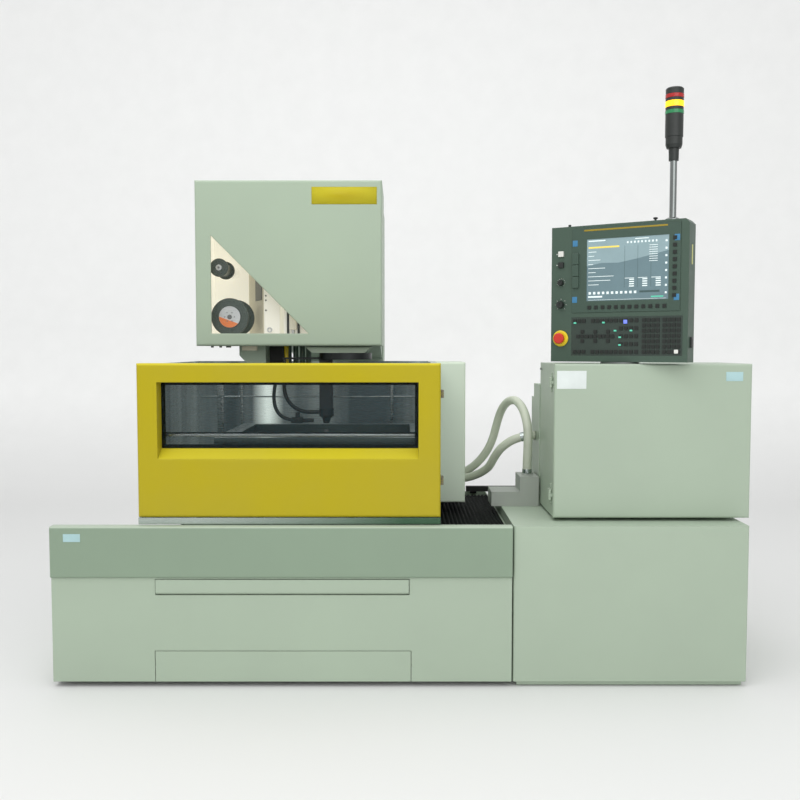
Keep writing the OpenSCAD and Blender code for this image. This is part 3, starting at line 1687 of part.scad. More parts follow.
module head_carriage() {
    block_h = 80;
    color([0.58, 0.62, 0.58]) {
        difference() {
            union() {
                block(wire_x - neck_w / 2 + z_rail_margin, wire_x + neck_w / 2 - z_rail_margin, head_back, carriage_y,
                    neck_z - z_rail_margin, carriage_top);
                for (x = z_rail_xs)
                    for (z = [neck_z + 2 * z_rail_margin, carriage_top - block_h])
                        block(x - carriage_w / 2, x + carriage_w / 2, carriage_y - over,
                            neck_front - 2 * slip - z_rail_h / 3, z, z + block_h);
            }
            for (x = z_rail_xs)
                block(x - z_rail_w / 2 - slip, x + z_rail_w / 2 + slip, neck_front - z_rail_h - slip,
                    neck_front + over, neck_z - z_rail_margin - over, carriage_top + over);
        }
        along_y(bracket_front, bracket_front + bracket_depth)
            polygon([[bracket_l, head_z], [bracket_l + bracket_w, head_z],
                [bracket_l + bracket_w, head_z - bracket_drop],
                [bracket_l + bracket_w / 3, head_z - bracket_drop],
                [bracket_l, head_z - bracket_drop / 2]]);
        for (y = [u_front + fold, u_front + u_d - 2 * fold])
            block(u_l, u_l + u_w, y, y + fold, head_z - u_rail_h, head_z);
    }
    color([0.1, 0.1, 0.1])
        block(bracket_l + bracket_w, bracket_l + bracket_w + post_w, post_front, post_front + post_d,
            head_z - bracket_drop - fold, head_z);
}

module head_box() {
    color([0.9, 0.88, 0.78])
        difference() {
            union() {
                difference() {
                    block(head_x, head_x + head_w, head_front, head_back, head_z, head_top);
                    block(head_x + head_wall, head_x + head_w - head_wall, head_front - over,
                        head_back - head_wall, head_z + head_wall, head_top - head_wall);
                }
                block(head_x + head_wall - over, head_x + head_w - head_wall + over, backplate_y,
                    backplate_y + backplate_t, head_z + head_wall - over, head_top - head_wall + over);
                for (p = [[spool_x, spool_z], [roller_x, roller_z]])
                    rod_y(p[0], p[1], spool_front + spool_l + slip, backplate_y + over, hub_r);
                for (z = cover_hinge_zs) {
                    post(cover_axis_x, cover_axis_y, z - cover_hinge_h / 6, z + cover_hinge_h / 6,
                        cover_hinge_r);
                    block(cover_axis_x, head_x + over, head_front + slip, head_front + fold,
                        z - cover_hinge_h / 6, z + cover_hinge_h / 6);
                    block(cover_axis_x, cover_axis_x + cover_hinge_r, cover_axis_y,
                        head_front + 2 * slip, z - cover_hinge_h / 6, z + cover_hinge_h / 6);
                }
            }
            for (z = cover_hinge_zs)
                post(cover_axis_x, cover_axis_y, z - cover_hinge_h, z + cover_hinge_h,
                    cover_hinge_r / 2 + fit);
            for (p = [[spool_x, spool_z], [roller_x, roller_z]])
                rod_y(p[0], p[1], spool_front + spool_l - over, backplate_y + backplate_t + over,
                    shaft_r + fit);
        }
}

module threading_unit() {
    color([0.92, 0.91, 0.84]) {
        block(thread_l, thread_gap_x, thread_front, backplate_y, head_z + 2 * head_wall,
            head_z + thread_h);
        difference() {
            block(thread_gap_x + thread_gap, thread_r, thread_front, backplate_y,
                head_z + 2 * head_wall, head_z + thread_h - thread_gap);
            along_y(thread_front - over, thread_front + thread_gap)
                translate([wire_x - guide_w, head_z + fold])
                    round_rect(guide_w, thread_h / 2, edge_r);
        }
        rod_y(wire_x - guide_w / 2, head_z + fold + thread_h / 4, thread_front - edge_r,
            thread_front + thread_gap + over, guide_w / 4);
    }
}

module feed_tubes() {
    tube_drop = bracket_drop;
    color([0.35, 0.45, 0.4]) {
        for (x = tube_xs)
            post(x, tube_y, head_z - tube_drop, head_z, tube_r);
        block(tube_xs[0] - tube_r - slip, tube_xs[3] + tube_r + slip, tube_y - 2 * tube_r,
            tube_y + 2 * tube_r, head_z - tube_drop - fold, head_z - tube_drop);
    }
}

module head_cover() {
    cheek = cover_hinge_h / 3 - slip;
    color([0.69, 0.78, 0.70]) {
        difference() {
            pan(head_x, head_x + head_w, cover_front, cover_front + head_cover_d, head_z, head_top,
                head_wall, edge_r);
            along_y(cover_front - over, cover_front + head_wall + over)
                polygon([[lens_corner_x, lens_corner_z], [lens_corner_x + lens_w, lens_corner_z],
                    [lens_corner_x, lens_corner_z + lens_h]]);
        }
        for (z = cover_hinge_zs) {
            post(cover_axis_x, cover_axis_y, z - cover_hinge_h / 2, z + cover_hinge_h / 2,
                cover_hinge_r / 2);
            for (z0 = [z - cover_hinge_h / 2, z + cover_hinge_h / 2 - cheek]) {
                post(cover_axis_x, cover_axis_y, z0, z0 + cheek, cover_hinge_r);
                block(cover_axis_x, head_x + over, cover_axis_y - fold, cover_axis_y - slip, z0,
                    z0 + cheek);
            }
        }
    }
}

module cover_pane() {
    color([0.85, 0.88, 0.85])
        along_y(cover_front + head_wall, cover_front + head_wall + pane_t)
            polygon([[lens_corner_x - pane_lap, lens_corner_z - pane_lap],
                [lens_corner_x + lens_w + 2 * pane_lap, lens_corner_z - pane_lap],
                [lens_corner_x - pane_lap, lens_corner_z + lens_h + 2 * pane_lap]]);
}

// A flanged reel on its shaft, with its axis along Y
module reel(x, z, r, core) {
    translate([x, spool_front, z])
        rotate([-90, 0, 0])
            rotate_extrude($fn = fine)
                polygon([[0, 0], [core * 0.8, 0], [core * 0.8, spool_flange / 3], [r - flange_edge, spool_flange / 3],
                    [r, spool_flange / 2], [r, spool_flange], [core, spool_flange],
                    [core, spool_l - spool_flange], [r, spool_l - spool_flange], [r, spool_l],
                    [shaft_r, spool_l], [shaft_r, backplate_y - spool_front], [0, backplate_y - spool_front]]);
}

module wire_spool() {
    color([0.2, 0.24, 0.23])
        reel(spool_x, spool_z, spool_r, spool_core_r);
}

module guide_roller() {
    color([0.2, 0.24, 0.23])
        reel(roller_x, roller_z, roller_r, roller_core_r);
}

module u_slide() {
    top = head_z - u_rail_h - slip;
    color([0.66, 0.75, 0.67])
        along_y(u_front, u_front + u_d)
            polygon([[u_l, top], [u_l + u_w, top], [u_l + u_w - u_inset, top - u_h],
                [u_l + u_inset, top - u_h]]);
}

module upper_guide() {
    v_top = head_z - u_rail_h - u_h - 2 * slip;
    v_z = v_top - v_h;
    color([0.1, 0.11, 0.11]) {
        difference() {
            union() {
                post(v_x, wire_y, v_z, v_top, v_r);
                block(wire_x - guide_w / 2, wire_x + guide_w / 2, wire_y - guide_w / 2,
                    wire_y + guide_w / 2, guide_tip_z + guide_neck_h, v_z + over);
                block(wire_x - hose_arm - hose_r, v_x, wire_y - hose_r, wire_y + hose_r, v_z, v_z + hose_r);
            }
        }
        translate([wire_x, wire_y, guide_tip_z])
            rotate_extrude($fn = fine)
                polygon([[0, 0], [guide_tip_r, 0], [guide_tip_r + guide_flare, guide_neck_h / 3],
                    [guide_w / 2 + guide_cap, guide_neck_h / 2], [guide_w / 2 + guide_cap, guide_neck_h],
                    [0, guide_neck_h]]);
        translate([wire_x - hose_arm, wire_y, v_z])
            flush_hose();
    }
}

// The flushing hose, a quarter bend between two straight runs down to the nozzle block
module flush_hose() {
    drop = head_z - u_rail_h - u_h - 2 * slip - v_h - guide_tip_z - guide_neck_h * 0.75;
    reach = hose_arm - guide_w / 2 - flange_edge;
    bend = reach * 0.7;
    translate([0, 0, -drop + bend])
        cylinder(h = drop - bend + over, r = hose_r, $fn = fine);
    translate([bend, 0, -drop + bend])
        rotate([90, 0, 0])
            rotate([0, 0, 180])
                rotate_extrude(angle = 90, $fn = fine)
                    translate([bend, 0])
                        circle(r = hose_r, $fn = fine);
    translate([bend, 0, -drop])
        rotate([0, 90, 0])
            cylinder(h = reach - bend, r = hose_r, $fn = fine);
}

bed_casting();
levelling_feet();
front_band();
front_panel();
bed_covers();
axis_rails();
left_bellows();
right_bellows();
seal_plate();
cable_tray();
fluid_cabinet();
filter_canisters();
fluid_pump();
hose_manifold();
supply_hose();
return_hose();
control_cabinet();
amplifier_rack();
heat_exchanger();
swivel_post();
tool_drawer();
control_door();
panel_housing();
screen_bezel();
screen_glass();
key_panel();
key_caps();
emergency_ring();
signal_pole();
signal_body();
lens_green();
lens_amber();
lens_red();
emergency_button();
white_button();
black_button();
feed_knob();
mode_knob();
tank_saddle();
tank_shell();
tank_side_box();
work_table();
tank_door();
window_glass();
window_gasket();
door_hinges();
column_casting();
lower_arm();
lower_guide();
head_carriage();
head_box();
threading_unit();
feed_tubes();
head_cover();
cover_pane();
wire_spool();
guide_roller();
u_slide();
upper_guide();
takeup_roller();
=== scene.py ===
"""Looks of a wire EDM machine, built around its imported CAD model.

The CAD nodes keep their shapes and get procedural finishes. Flexible pieces
replace their CAD stand-ins, and small detail is added as new pieces that ride
on the CAD bodies. Lengths are metres in the row frame: X to the operator's
right, Y from the front to the column, Z up from the floor.
"""

import logging
import math
from dataclasses import dataclass, field
from enum import Enum
from typing import Iterable, Sequence

import bpy
import numpy as np
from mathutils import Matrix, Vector

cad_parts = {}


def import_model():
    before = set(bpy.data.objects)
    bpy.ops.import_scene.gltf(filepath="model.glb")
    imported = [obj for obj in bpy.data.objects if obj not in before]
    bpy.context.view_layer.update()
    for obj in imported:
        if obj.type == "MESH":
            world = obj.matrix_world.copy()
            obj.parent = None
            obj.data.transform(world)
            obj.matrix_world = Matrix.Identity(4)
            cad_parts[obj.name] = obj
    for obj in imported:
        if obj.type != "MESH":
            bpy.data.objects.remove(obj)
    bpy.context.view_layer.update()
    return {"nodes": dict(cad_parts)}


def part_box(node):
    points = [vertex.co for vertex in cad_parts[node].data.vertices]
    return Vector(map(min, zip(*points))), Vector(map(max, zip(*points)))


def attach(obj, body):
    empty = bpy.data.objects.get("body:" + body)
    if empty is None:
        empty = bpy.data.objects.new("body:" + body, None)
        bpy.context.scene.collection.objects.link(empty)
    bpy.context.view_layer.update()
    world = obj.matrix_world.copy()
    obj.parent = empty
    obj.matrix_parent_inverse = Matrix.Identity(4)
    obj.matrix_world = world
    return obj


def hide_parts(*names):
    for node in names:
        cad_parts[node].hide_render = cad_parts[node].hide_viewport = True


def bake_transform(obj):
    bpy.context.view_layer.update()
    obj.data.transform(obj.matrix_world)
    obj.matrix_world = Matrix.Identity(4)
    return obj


LOG = logging.getLogger("wire_edm")

Vec = tuple[float, float, float]
Colour = tuple[float, float, float]
Bar = tuple[float, float, float, float]
Shape = tuple[np.ndarray, list[list[int]]]
Socket = bpy.types.NodeSocket

CAMERA_PLACE: Vec = (-0.0165, -4.140, 1.209)
CAMERA_PITCH_DEG = 86.694
CAMERA_LENS_MM = 40.5
SENSOR_MM = 36.0
PANEL_TURN = math.radians(32.2)
HEAD_WIDTH = 0.718
HEAD_WALL_DEPTH = 0.0034
POST_LOW: Vec = (-0.556, -0.433, 1.100)
POST_HIGH: Vec = (-0.492, -0.347, 1.2165)
HINGE_LEAF = np.array([0.012, 0.02, 0.02])
MM = 0.001
WELD_DIGITS = 7


# Shapes

def rounded_box(low: Sequence[float], high: Sequence[float], radius: float) -> Shape:
    """A closed box whose edges and corners are rounded.

    Each side is a grid of points. A point is drawn back to the nearest point of the
    core, which is the box shrunk by the radius, and set one radius away from it.

    Args:
        low: Lowest corner.
        high: Highest corner.
        radius: Radius of every edge.

    Returns:
        The points and the four-sided faces.
    """
    low, high = np.asarray(low, float), np.asarray(high, float)
    radius = min(radius, float((high - low).min()) * 0.499)
    arc = radius * (1 - math.tan(math.pi / 8))
    stops = [np.array([low[a], low[a] + arc, low[a] + radius,
                       high[a] - radius, high[a] - arc, high[a]]) for a in range(3)]
    grids, faces, count = [], [], 0
    size = len(stops[0])
    quads = grid_faces(size, size)
    for axis in range(3):
        first, second = [a for a in range(3) if a != axis]
        across, along = np.meshgrid(stops[first], stops[second], indexing="ij")
        for at_high in (False, True):
            points = np.empty((size * size, 3))
            points[:, first], points[:, second] = across.ravel(), along.ravel()
            points[:, axis] = high[axis] if at_high else low[axis]
            grids.append(points)
            flip = at_high != (axis == 1)
            turned = quads[:, ::-1] if not flip else quads
            faces.append(turned + count)
            count += size * size
    points = np.concatenate(grids)
    core = np.clip(points, low + radius, high - radius)
    away = points - core
    points = core + radius * away / np.linalg.norm(away, axis=1)[:, None]
    return welded(points, np.concatenate(faces))


def grid_faces(rows: int, columns: int, closed: bool = False) -> np.ndarray:
    """Quads of a grid whose points run along the columns first.

    Args:
        rows: Number of rows of points.
        columns: Number of points in a row.
        closed: Whether the last column joins the first.

    Returns:
        One row of four point numbers for each quad.
    """
    last = columns if closed else columns - 1
    row, column = np.meshgrid(np.arange(rows - 1), np.arange(last), indexing="ij")
    a = (row * columns + column).ravel()
    b = (row * columns + (column + 1) % columns).ravel()
    return np.stack([a, b, b + columns, a + columns], axis=1)


def welded(points: np.ndarray, faces: np.ndarray) -> Shape:
    """Joins points that coincide and drops faces that this leaves empty.

    Args:
        points: The points, some of them twice.
        faces: Faces over them.

    Returns:
        The points without doubles, and the faces over those.
    """
    _, index, inverse = np.unique(np.round(points, WELD_DIGITS), axis=0,
                                  return_index=True, return_inverse=True)
    faces = inverse.ravel()[faces]
    kept = [list(dict.fromkeys(face)) for face in faces.tolist()]
    return points[index], [face for face in kept if len(face) > 2]


def lathe(profile: Sequence[tuple[float, float]], centre: Sequence[float], axis: int,
          sides: int = 48, sign: float = 1.0) -> Shape:
    """A surface turned round an axis of the frame.

    A point's place across the axis is its radius times the cosine and sine of the turn,
    and its place along the axis is the profile's distance.

    Args:
        profile: Pairs of radius and distance along the axis.
        centre: A point on the axis, where the distance is zero.
        axis: 0, 1 or 2 for X, Y or Z.
        sides: Number of steps round the axis.
        sign: Minus one runs the distances the other way.

    Returns:
        The points and the faces.
    """
    profile = np.asarray(profile, float)
    turn = np.linspace(0, math.tau, sides, endpoint=False)
    first, second = [a for a in range(3) if a != axis]
    points = np.empty((len(profile), sides, 3))
    points[:, :, first] = profile[:, :1] * np.cos(turn)
    points[:, :, second] = profile[:, :1] * np.sin(turn)
    points[:, :, axis] = (sign * profile[:, 1])[:, None]
    points += np.asarray(centre, float)
    faces = grid_faces(len(profile), sides, closed=True)
    if (sign > 0) == (axis == 1):
        faces = faces[:, ::-1]
    return welded(points.reshape(-1, 3), faces)


def prism(outline: Sequence[tuple[float, float]], axis: int, start: float, end: float) -> Shape:
    """A flat outline pushed along an axis of the frame.

    The signed area of the outline tells which way round it runs, so that faces point out.

    Args:
        outline: Pairs in the other two axes, in their order.
        axis: 0, 1 or 2 for X, Y or Z.
        start: Where it starts on the axis.
        end: Where it ends.

    Returns:
        The points and the faces, with many-sided caps.
    """
    outline = np.asarray(outline, float)
    n = len(outline)
    first, second = [a for a in range(3) if a != axis]
    points = np.empty((2 * n, 3))
    x, z = outline[:, 0], outline[:, 1]
    points[:n, first], points[:n, second], points[:n, axis] = x, z, start
    points[n:, first], points[n:, second], points[n:, axis] = x, z, end
    area = float(np.sum(x * np.roll(z, -1) - np.roll(x, -1) * z))
    faces = [[i, (i + 1) % n, n + (i + 1) % n, n + i] for i in range(n)]
    faces += [list(range(n))[::-1], list(range(n, 2 * n))]
    if (area > 0) == (axis == 1):
        faces = [face[::-1] for face in faces]
    return points, faces


def smooth_path(points: Sequence[Vec], step: float) -> np.ndarray:
    """A smooth curve through the points, with its own points about a step apart.

    Each stretch between two points is the cubic whose slope at a point is half the way
    from the point before it to the point after it.

    Args:
        points: Points that the curve passes through.
        step: Distance between the curve's own points.

    Returns:
        The curve's points, one row each.
    """
    points = np.asarray(points, float)
    ends = np.vstack([2 * points[0] - points[1], points, 2 * points[-1] - points[-2]])
    pieces = []
    for i in range(len(points) - 1):
        a, b, c, d = ends[i:i + 4]
        count = max(2, int(np.linalg.norm(c - b) / step))
        t = np.linspace(0, 1, count, endpoint=False)[:, None]
        pieces.append(0.5 * (2 * b + (c - a) * t + (2 * a - 5 * b + 4 * c - d) * t**2
                             + (3 * b - a - 3 * c + d) * t**3))
    return np.vstack([*pieces, points[-1:]])


def tube(path: np.ndarray, radius: float | np.ndarray, sides: int = 24) -> Shape:
    """A closed tube round a path.

    Each ring lies across the path, and its start is carried from ring to ring without
    a twist.

    Args:
        path: Points of the centreline.
        radius: One radius, or one for each point.
        sides: Number of steps round the tube.

    Returns:
        The points and the faces.
    """
    path = np.asarray(path, float)
    along = np.gradient(path, axis=0)
    along /= np.linalg.norm(along, axis=1)[:, None]
    side = np.empty_like(path)
    guess = np.array([0.0, 1.0, 0.0]) if abs(along[0][0]) > 0.9 else np.array([1.0, 0.0, 0.0])
    for i, direction in enumerate(along):
        guess = guess - (guess @ direction) * direction
        guess /= np.linalg.norm(guess)
        side[i] = guess
    up = np.cross(along, side)
    turn = np.linspace(0, math.tau, sides, endpoint=False)
    radii = np.broadcast_to(radius, len(path))[:, None, None]
    across = np.cos(turn)[:, None] * side[:, None] + np.sin(turn)[:, None] * up[:, None]
    rings = path[:, None] + radii * across
    faces = grid_faces(len(path), sides, closed=True).tolist()
    last = (len(path) - 1) * sides
    faces += [list(range(sides))[::-1], list(range(last, last + sides))]
    return rings.reshape(-1, 3), faces


@dataclass
class Gathered:
    """Shapes that are joined into one mesh object.

    Attributes:
        name: Name of the piece.
        points: Blocks of points.
        faces: Faces over all the points.
        slots: Material slot of each face.
    """

    name: str
    points: list[np.ndarray] = field(default_factory=list)
    faces: list[list[int]] = field(default_factory=list)
    slots: list[int] = field(default_factory=list)

    def add(self, shape: Shape, slot: int = 0, place: np.ndarray | None = None) -> "Gathered":
        """Adds a shape.

        Args:
            shape: Its points and faces.
            slot: Material slot of its faces.
            place: A 4 by 4 matrix that carries it to its place.

        Returns:
            The gathered piece itself.
        """
        points, faces = shape
        if place is not None:
            points = points @ place[:3, :3].T + place[:3, 3]
        start = sum(len(block) for block in self.points)
        self.points.append(points)
        self.faces += [[start + i for i in face] for face in faces]
        self.slots += [slot] * len(faces)
        return self

    def build(self, body: str, materials: Iterable[bpy.types.Material],
              slot_name: str = "", smooth_deg: float = 35.0) -> bpy.types.Object:
        """Makes the object and lets it ride on a body.

        Args:
            body: Name of the CAD body, or an empty text for none.
            materials: One material for each slot number.
            slot_name: The record's material slot. Not used.
            smooth_deg: Edges sharper than this stay sharp.

        Returns:
            The new object.
        """
        mesh = bpy.data.meshes.new(self.name)
        mesh.from_pydata(np.concatenate(self.points).tolist(), [], self.faces)
        for material in materials:
            mesh.materials.append(material)
        mesh.polygons.foreach_set("material_index", self.slots)
        mesh.polygons.foreach_set("use_smooth", [True] * len(self.faces))
        mesh.validate()
        mesh.set_sharp_from_angle(angle=math.radians(smooth_deg))
        thing = bpy.data.objects.new(self.name, mesh)
        bpy.context.scene.collection.objects.link(thing)
        if body:
            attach(thing, body)
        LOG.info("%s: %d faces on %s", self.name, len(self.faces), body or "no single body")
        return thing


# Materials

class Tree:
    """A material's nodes, with short calls to add and join them."""

    def __init__(self, name: str) -> None:
        """Starts a material that has a shader and the object's own coordinates."""
        self.material = bpy.data.materials.new(name)
        self.material.use_nodes = True
        self.nodes = self.material.node_tree.nodes
        self.links = self.material.node_tree.links
        self.shader = next(n for n in self.nodes if n.type == "BSDF_PRINCIPLED")
        self.where = self.add("ShaderNodeTexCoord").outputs["Object"]

    def add(self, kind: str, inputs: dict | None = None, **settings: object) -> bpy.types.Node:
        """Adds a node.

        Args:
            kind: Blender's name of the node.
            inputs: Number, tuple or another node's output for each input.
            settings: The node's own settings.

        Returns:
            The node.
        """
        made = self.nodes.new(kind)
        for key, value in settings.items():
            setattr(made, key, value)
        for key, value in (inputs or {}).items():
            if isinstance(value, Socket):
                self.links.new(value, made.inputs[key])
            else:
                made.inputs[key].default_value = value
        return made

    def math(self, operation: str, *values: "float | Socket") -> Socket:
        """A Math node's output."""
        return self.add("ShaderNodeMath", dict(enumerate(values)), operation=operation).outputs[0]

    def noise(self, scale: float | Vec, detail: float = 3.0) -> Socket:
        """Noise on the object's coordinates.

        Args:
            scale: Cells in a metre, or one number for each axis.
            detail: Octaves of the noise.

        Returns:
            The noise's value.
        """
        source = self.where
        if isinstance(scale, tuple):
            source = self.add("ShaderNodeMapping", {"Vector": source, "Scale": scale}).outputs[0]
            scale = 1.0
        inputs = {"Vector": source, "Scale": scale, "Detail": detail}
        return self.add("ShaderNodeTexNoise", inputs).outputs[0]

    def span(self, value: Socket, low: float, high: float,
             start: float = 0.0, end: float = 1.0) -> Socket:
        """Maps a value from one range to another.

        Args:
            value: The value.
            low: Result at the start of its range.
            high: Result at the end of its range.
            start: Start of its range.
            end: End of its range.

        Returns:
            The result, held between low and high.
        """
        made = self.add("ShaderNodeMapRange", {"Value": value, "From Min": start, "From Max": end,
                                               "To Min": low, "To Max": high})
        return made.outputs[0]

    def parts(self) -> Sequence[Socket]:
        """X, Y and Z of the object's coordinates."""
        return self.add("ShaderNodeSeparateXYZ", {0: self.where}).outputs

    def mix(self, share: Socket, first: Colour | Socket, second: Colour | Socket) -> Socket:
        """Mixes two colours.

        Args:
            share: Share of the second colour.
            first: The first colour.
            second: The second colour.

        Returns:
            The mixed colour.
        """
        made = self.add("ShaderNodeMix", data_type="RGBA")
        sockets = (made.inputs[0], made.inputs[6], made.inputs[7])
        for socket, value in zip(sockets, (share, first, second)):
            if isinstance(value, Socket):
                self.links.new(value, socket)
            else:
                socket.default_value = (*value, 1.0) if isinstance(value, tuple) else value
        return made.outputs[2]

    def vector(self, operation: str, *values: "Vec | Socket") -> Socket:
        """A Vector Math node's vector output."""
        made = self.add("ShaderNodeVectorMath", dict(enumerate(values)), operation=operation)
        return made.outputs[0]

    def inside(self, low: Sequence[float], high: Sequence[float]) -> Socket:
        """Tells the inside of a box of the frame from its outside.

        Args:
            low: Lowest corner.
            high: Highest corner.

        Returns:
            One inside the box, zero outside it.
        """
        low, high = np.asarray(low, float), np.asarray(high, float)
        away = self.vector("ABSOLUTE", self.vector("SUBTRACT", self.where, tuple((low + high) / 2)))
        past = self.vector("SUBTRACT", away, tuple((high - low) / 2))
        parts = self.add("ShaderNodeSeparateXYZ", {0: past}).outputs
        most = self.math("MAXIMUM", self.math("MAXIMUM", parts[0], parts[1]), parts[2])
        return self.math("LESS_THAN", most, 0.0)

    def facing_up(self) -> Socket:
        """One on faces that look up, zero on upright faces."""
        normal = self.add("ShaderNodeNewGeometry").outputs["True Normal"]
        up = self.add("ShaderNodeSeparateXYZ", {0: normal}).outputs[2]
        return self.span(up, 0.0, 1.0, 0.15, 0.75)

    def edge(self, radius: float) -> tuple[Socket, Socket]:
        """Rounds the look of sharp edges.

        Args:
            radius: Radius that they seem to have.

        Returns:
            The rounded normal, and a mask that is one along the edges.
        """
        bevel = self.add("ShaderNodeBevel", {"Radius": radius}, samples=4).outputs[0]
        true = self.add("ShaderNodeNewGeometry").outputs["True Normal"]
        dot = self.add("ShaderNodeVectorMath", {0: bevel, 1: true}, operation="DOT_PRODUCT")
        return bevel, self.span(dot.outputs["Value"], 1.0, 0.0, 0.72, 0.99)

    def glow(self, colour: Colour, strength: float | Socket) -> None:
        """Lets the surface give off a little light.

        Args:
            colour: Colour of the light.
            strength: Its strength.
        """
        self.shader.inputs["Emission Color"].default_value = (*colour, 1.0)
        if isinstance(strength, Socket):
            self.links.new(strength, self.shader.inputs["Emission Strength"])
        else:
            self.shader.inputs["Emission Strength"].default_value = strength

    def finish(self, colour: Colour | Socket, roughness: float | Socket, bump: Socket,
               strength: float, distance: float, normal: Socket | None = None,
               metallic: float = 0.0) -> bpy.types.Material:
        """Joins colour, roughness and bump to the shader.

        Args:
            colour: The base colour.
            roughness: The roughness.
            bump: Height of the fine relief.
            strength: Share of the relief that shows.
            distance: Height of the relief in metres.
            normal: The normal under the relief.
            metallic: Metallic share.

        Returns:
            The material.
        """
        for key, value in (("Base Color", colour), ("Roughness", roughness)):
            if isinstance(value, Socket):
                self.links.new(value, self.shader.inputs[key])
            elif isinstance(value, tuple):
                self.shader.inputs[key].default_value = (*value, 1.0)
            else:
                self.shader.inputs[key].default_value = value
        relief = {"Height": bump, "Strength": strength, "Distance": distance}
        if normal is not None:
            relief["Normal"] = normal
        self.links.new(self.add("ShaderNodeBump", relief).outputs[0], self.shader.inputs["Normal"])
        self.shader.inputs["Metallic"].default_value = metallic
        return self.material


def shade(colour: Colour, factor: float) -> Colour:
    """A colour made darker or lighter."""
    return tuple(min(1.0, c * factor) for c in colour)


@dataclass(frozen=True)
class Paint:
    """Sprayed sheet-metal paint with an orange-peel skin, painted edge highlights and painted light
    on upward faces.

    Attributes:
        colour: Linear colour of the paint.
        roughness: Mean roughness.
        edge_highlight: Painted highlight colour along the edges.
        edge_r: Radius that the edges seem to have.
        grain: Size of the skin's cells, as noise scale.
        peel: Strength of the skin's bump.
        gloss: Specular level of the coat.
        lit_top_colour: Colour of faces that look up, painted light from above.
        glow: Painted glow standing in for light sent back inside a closed housing, where little
            light gets in.
    """

    colour: Colour
    roughness: float = 0.42
    edge_highlight: Colour | None = None
    edge_r: float = 0.003
    grain: float = 420.0
    peel: float = 0.06
    gloss: float = 0.4
    lit_top_colour: Colour | None = None
    glow: float = 0.0

    def make(self, name: str, second: "Paint | None" = None, low: Sequence[float] = (),
             high: Sequence[float] = ()) -> bpy.types.Material:
        """Makes the material.

        Args:
            name: Its name.
            second: A second paint, for the faces inside a box.
            low: Lowest corner of that box.
            high: Highest corner of that box.

        Returns:
            The material.
        """
        tree = Tree(name)
        normal, edge = tree.edge(self.edge_r)
        base = self.colour
        # Painted light: faces that look up take a lighter colour.
        if self.lit_top_colour is not None:
            base = tree.mix(tree.facing_up(), self.colour, self.lit_top_colour)
        # Painted glow: the second paint inside the box, or this paint itself, gives off light as if
        # lit inside the closed housing.
        if second is not None:
            within = tree.inside(low, high)
            base = tree.mix(within, base, second.colour)
            tree.glow(second.colour, tree.math("MULTIPLY", within, second.glow))
        elif self.glow:
            tree.glow(self.colour, self.glow)
        cloud = tree.span(tree.noise(2.3, 4), 0.0, 1.0, 0.3, 0.7)
        whole = base if isinstance(base, Socket) else (*base, 1.0)
        dull = tree.add("ShaderNodeHueSaturation", {
            "Value": 0.94, "Saturation": 0.96, "Color": whole})
        tone = tree.mix(cloud, base, dull.outputs[0])
        # Painted highlight: a lighter colour along the edges.
        light = self.edge_highlight or shade(self.colour, 1.12)
        tone = tree.mix(tree.math("MULTIPLY", edge, 0.55), tone, light)
        rough = tree.span(tree.noise(31, 3), self.roughness - 0.06, self.roughness + 0.06)
        tree.shader.inputs["Specular IOR Level"].default_value = self.gloss
        return tree.finish(tone, rough, tree.noise(self.grain, 2), self.peel, 0.4 * MM, normal)


@dataclass(frozen=True)
class Metal:
    """Bare metal with fine streaks along one axis, painted edge highlights and painted light on
    upward faces.

    Attributes:
        colour: Linear colour of the metal.
        roughness: Mean roughness.
        streaks: Noise scale along X, Y and Z.
        metallic: Metallic share.
        strength: Strength of the streaks' bump.
        lit_top_colour: Colour of faces that look up, painted light from above.
    """

    colour: Colour
    roughness: float = 0.34
    streaks: Vec = (14.0, 900.0, 900.0)
    metallic: float = 1.0
    strength: float = 0.08
    lit_top_colour: Colour | None = None

    def make(self, name: str) -> bpy.types.Material:
        """Makes the material."""
        tree = Tree(name)
        normal, edge = tree.edge(0.0015)
        lines = tree.noise(self.streaks, 4)
        cloud = tree.span(tree.noise(5.0, 5), 0, 1, 0.35, 0.65)
        tone = tree.mix(cloud, self.colour, shade(self.colour, 0.82))
        # Painted light on faces that look up, and a painted highlight along the edges.
        if self.lit_top_colour is not None:
            tone = tree.mix(tree.facing_up(), tone, self.lit_top_colour)
        tone = tree.mix(tree.math("MULTIPLY", edge, 0.5), tone, shade(self.colour, 1.4))
        rough = tree.span(lines, self.roughness - 0.1, self.roughness + 0.1, 0.3, 0.7)
        return tree.finish(tone, rough, lines, self.strength, 0.2 * MM, normal, self.metallic)


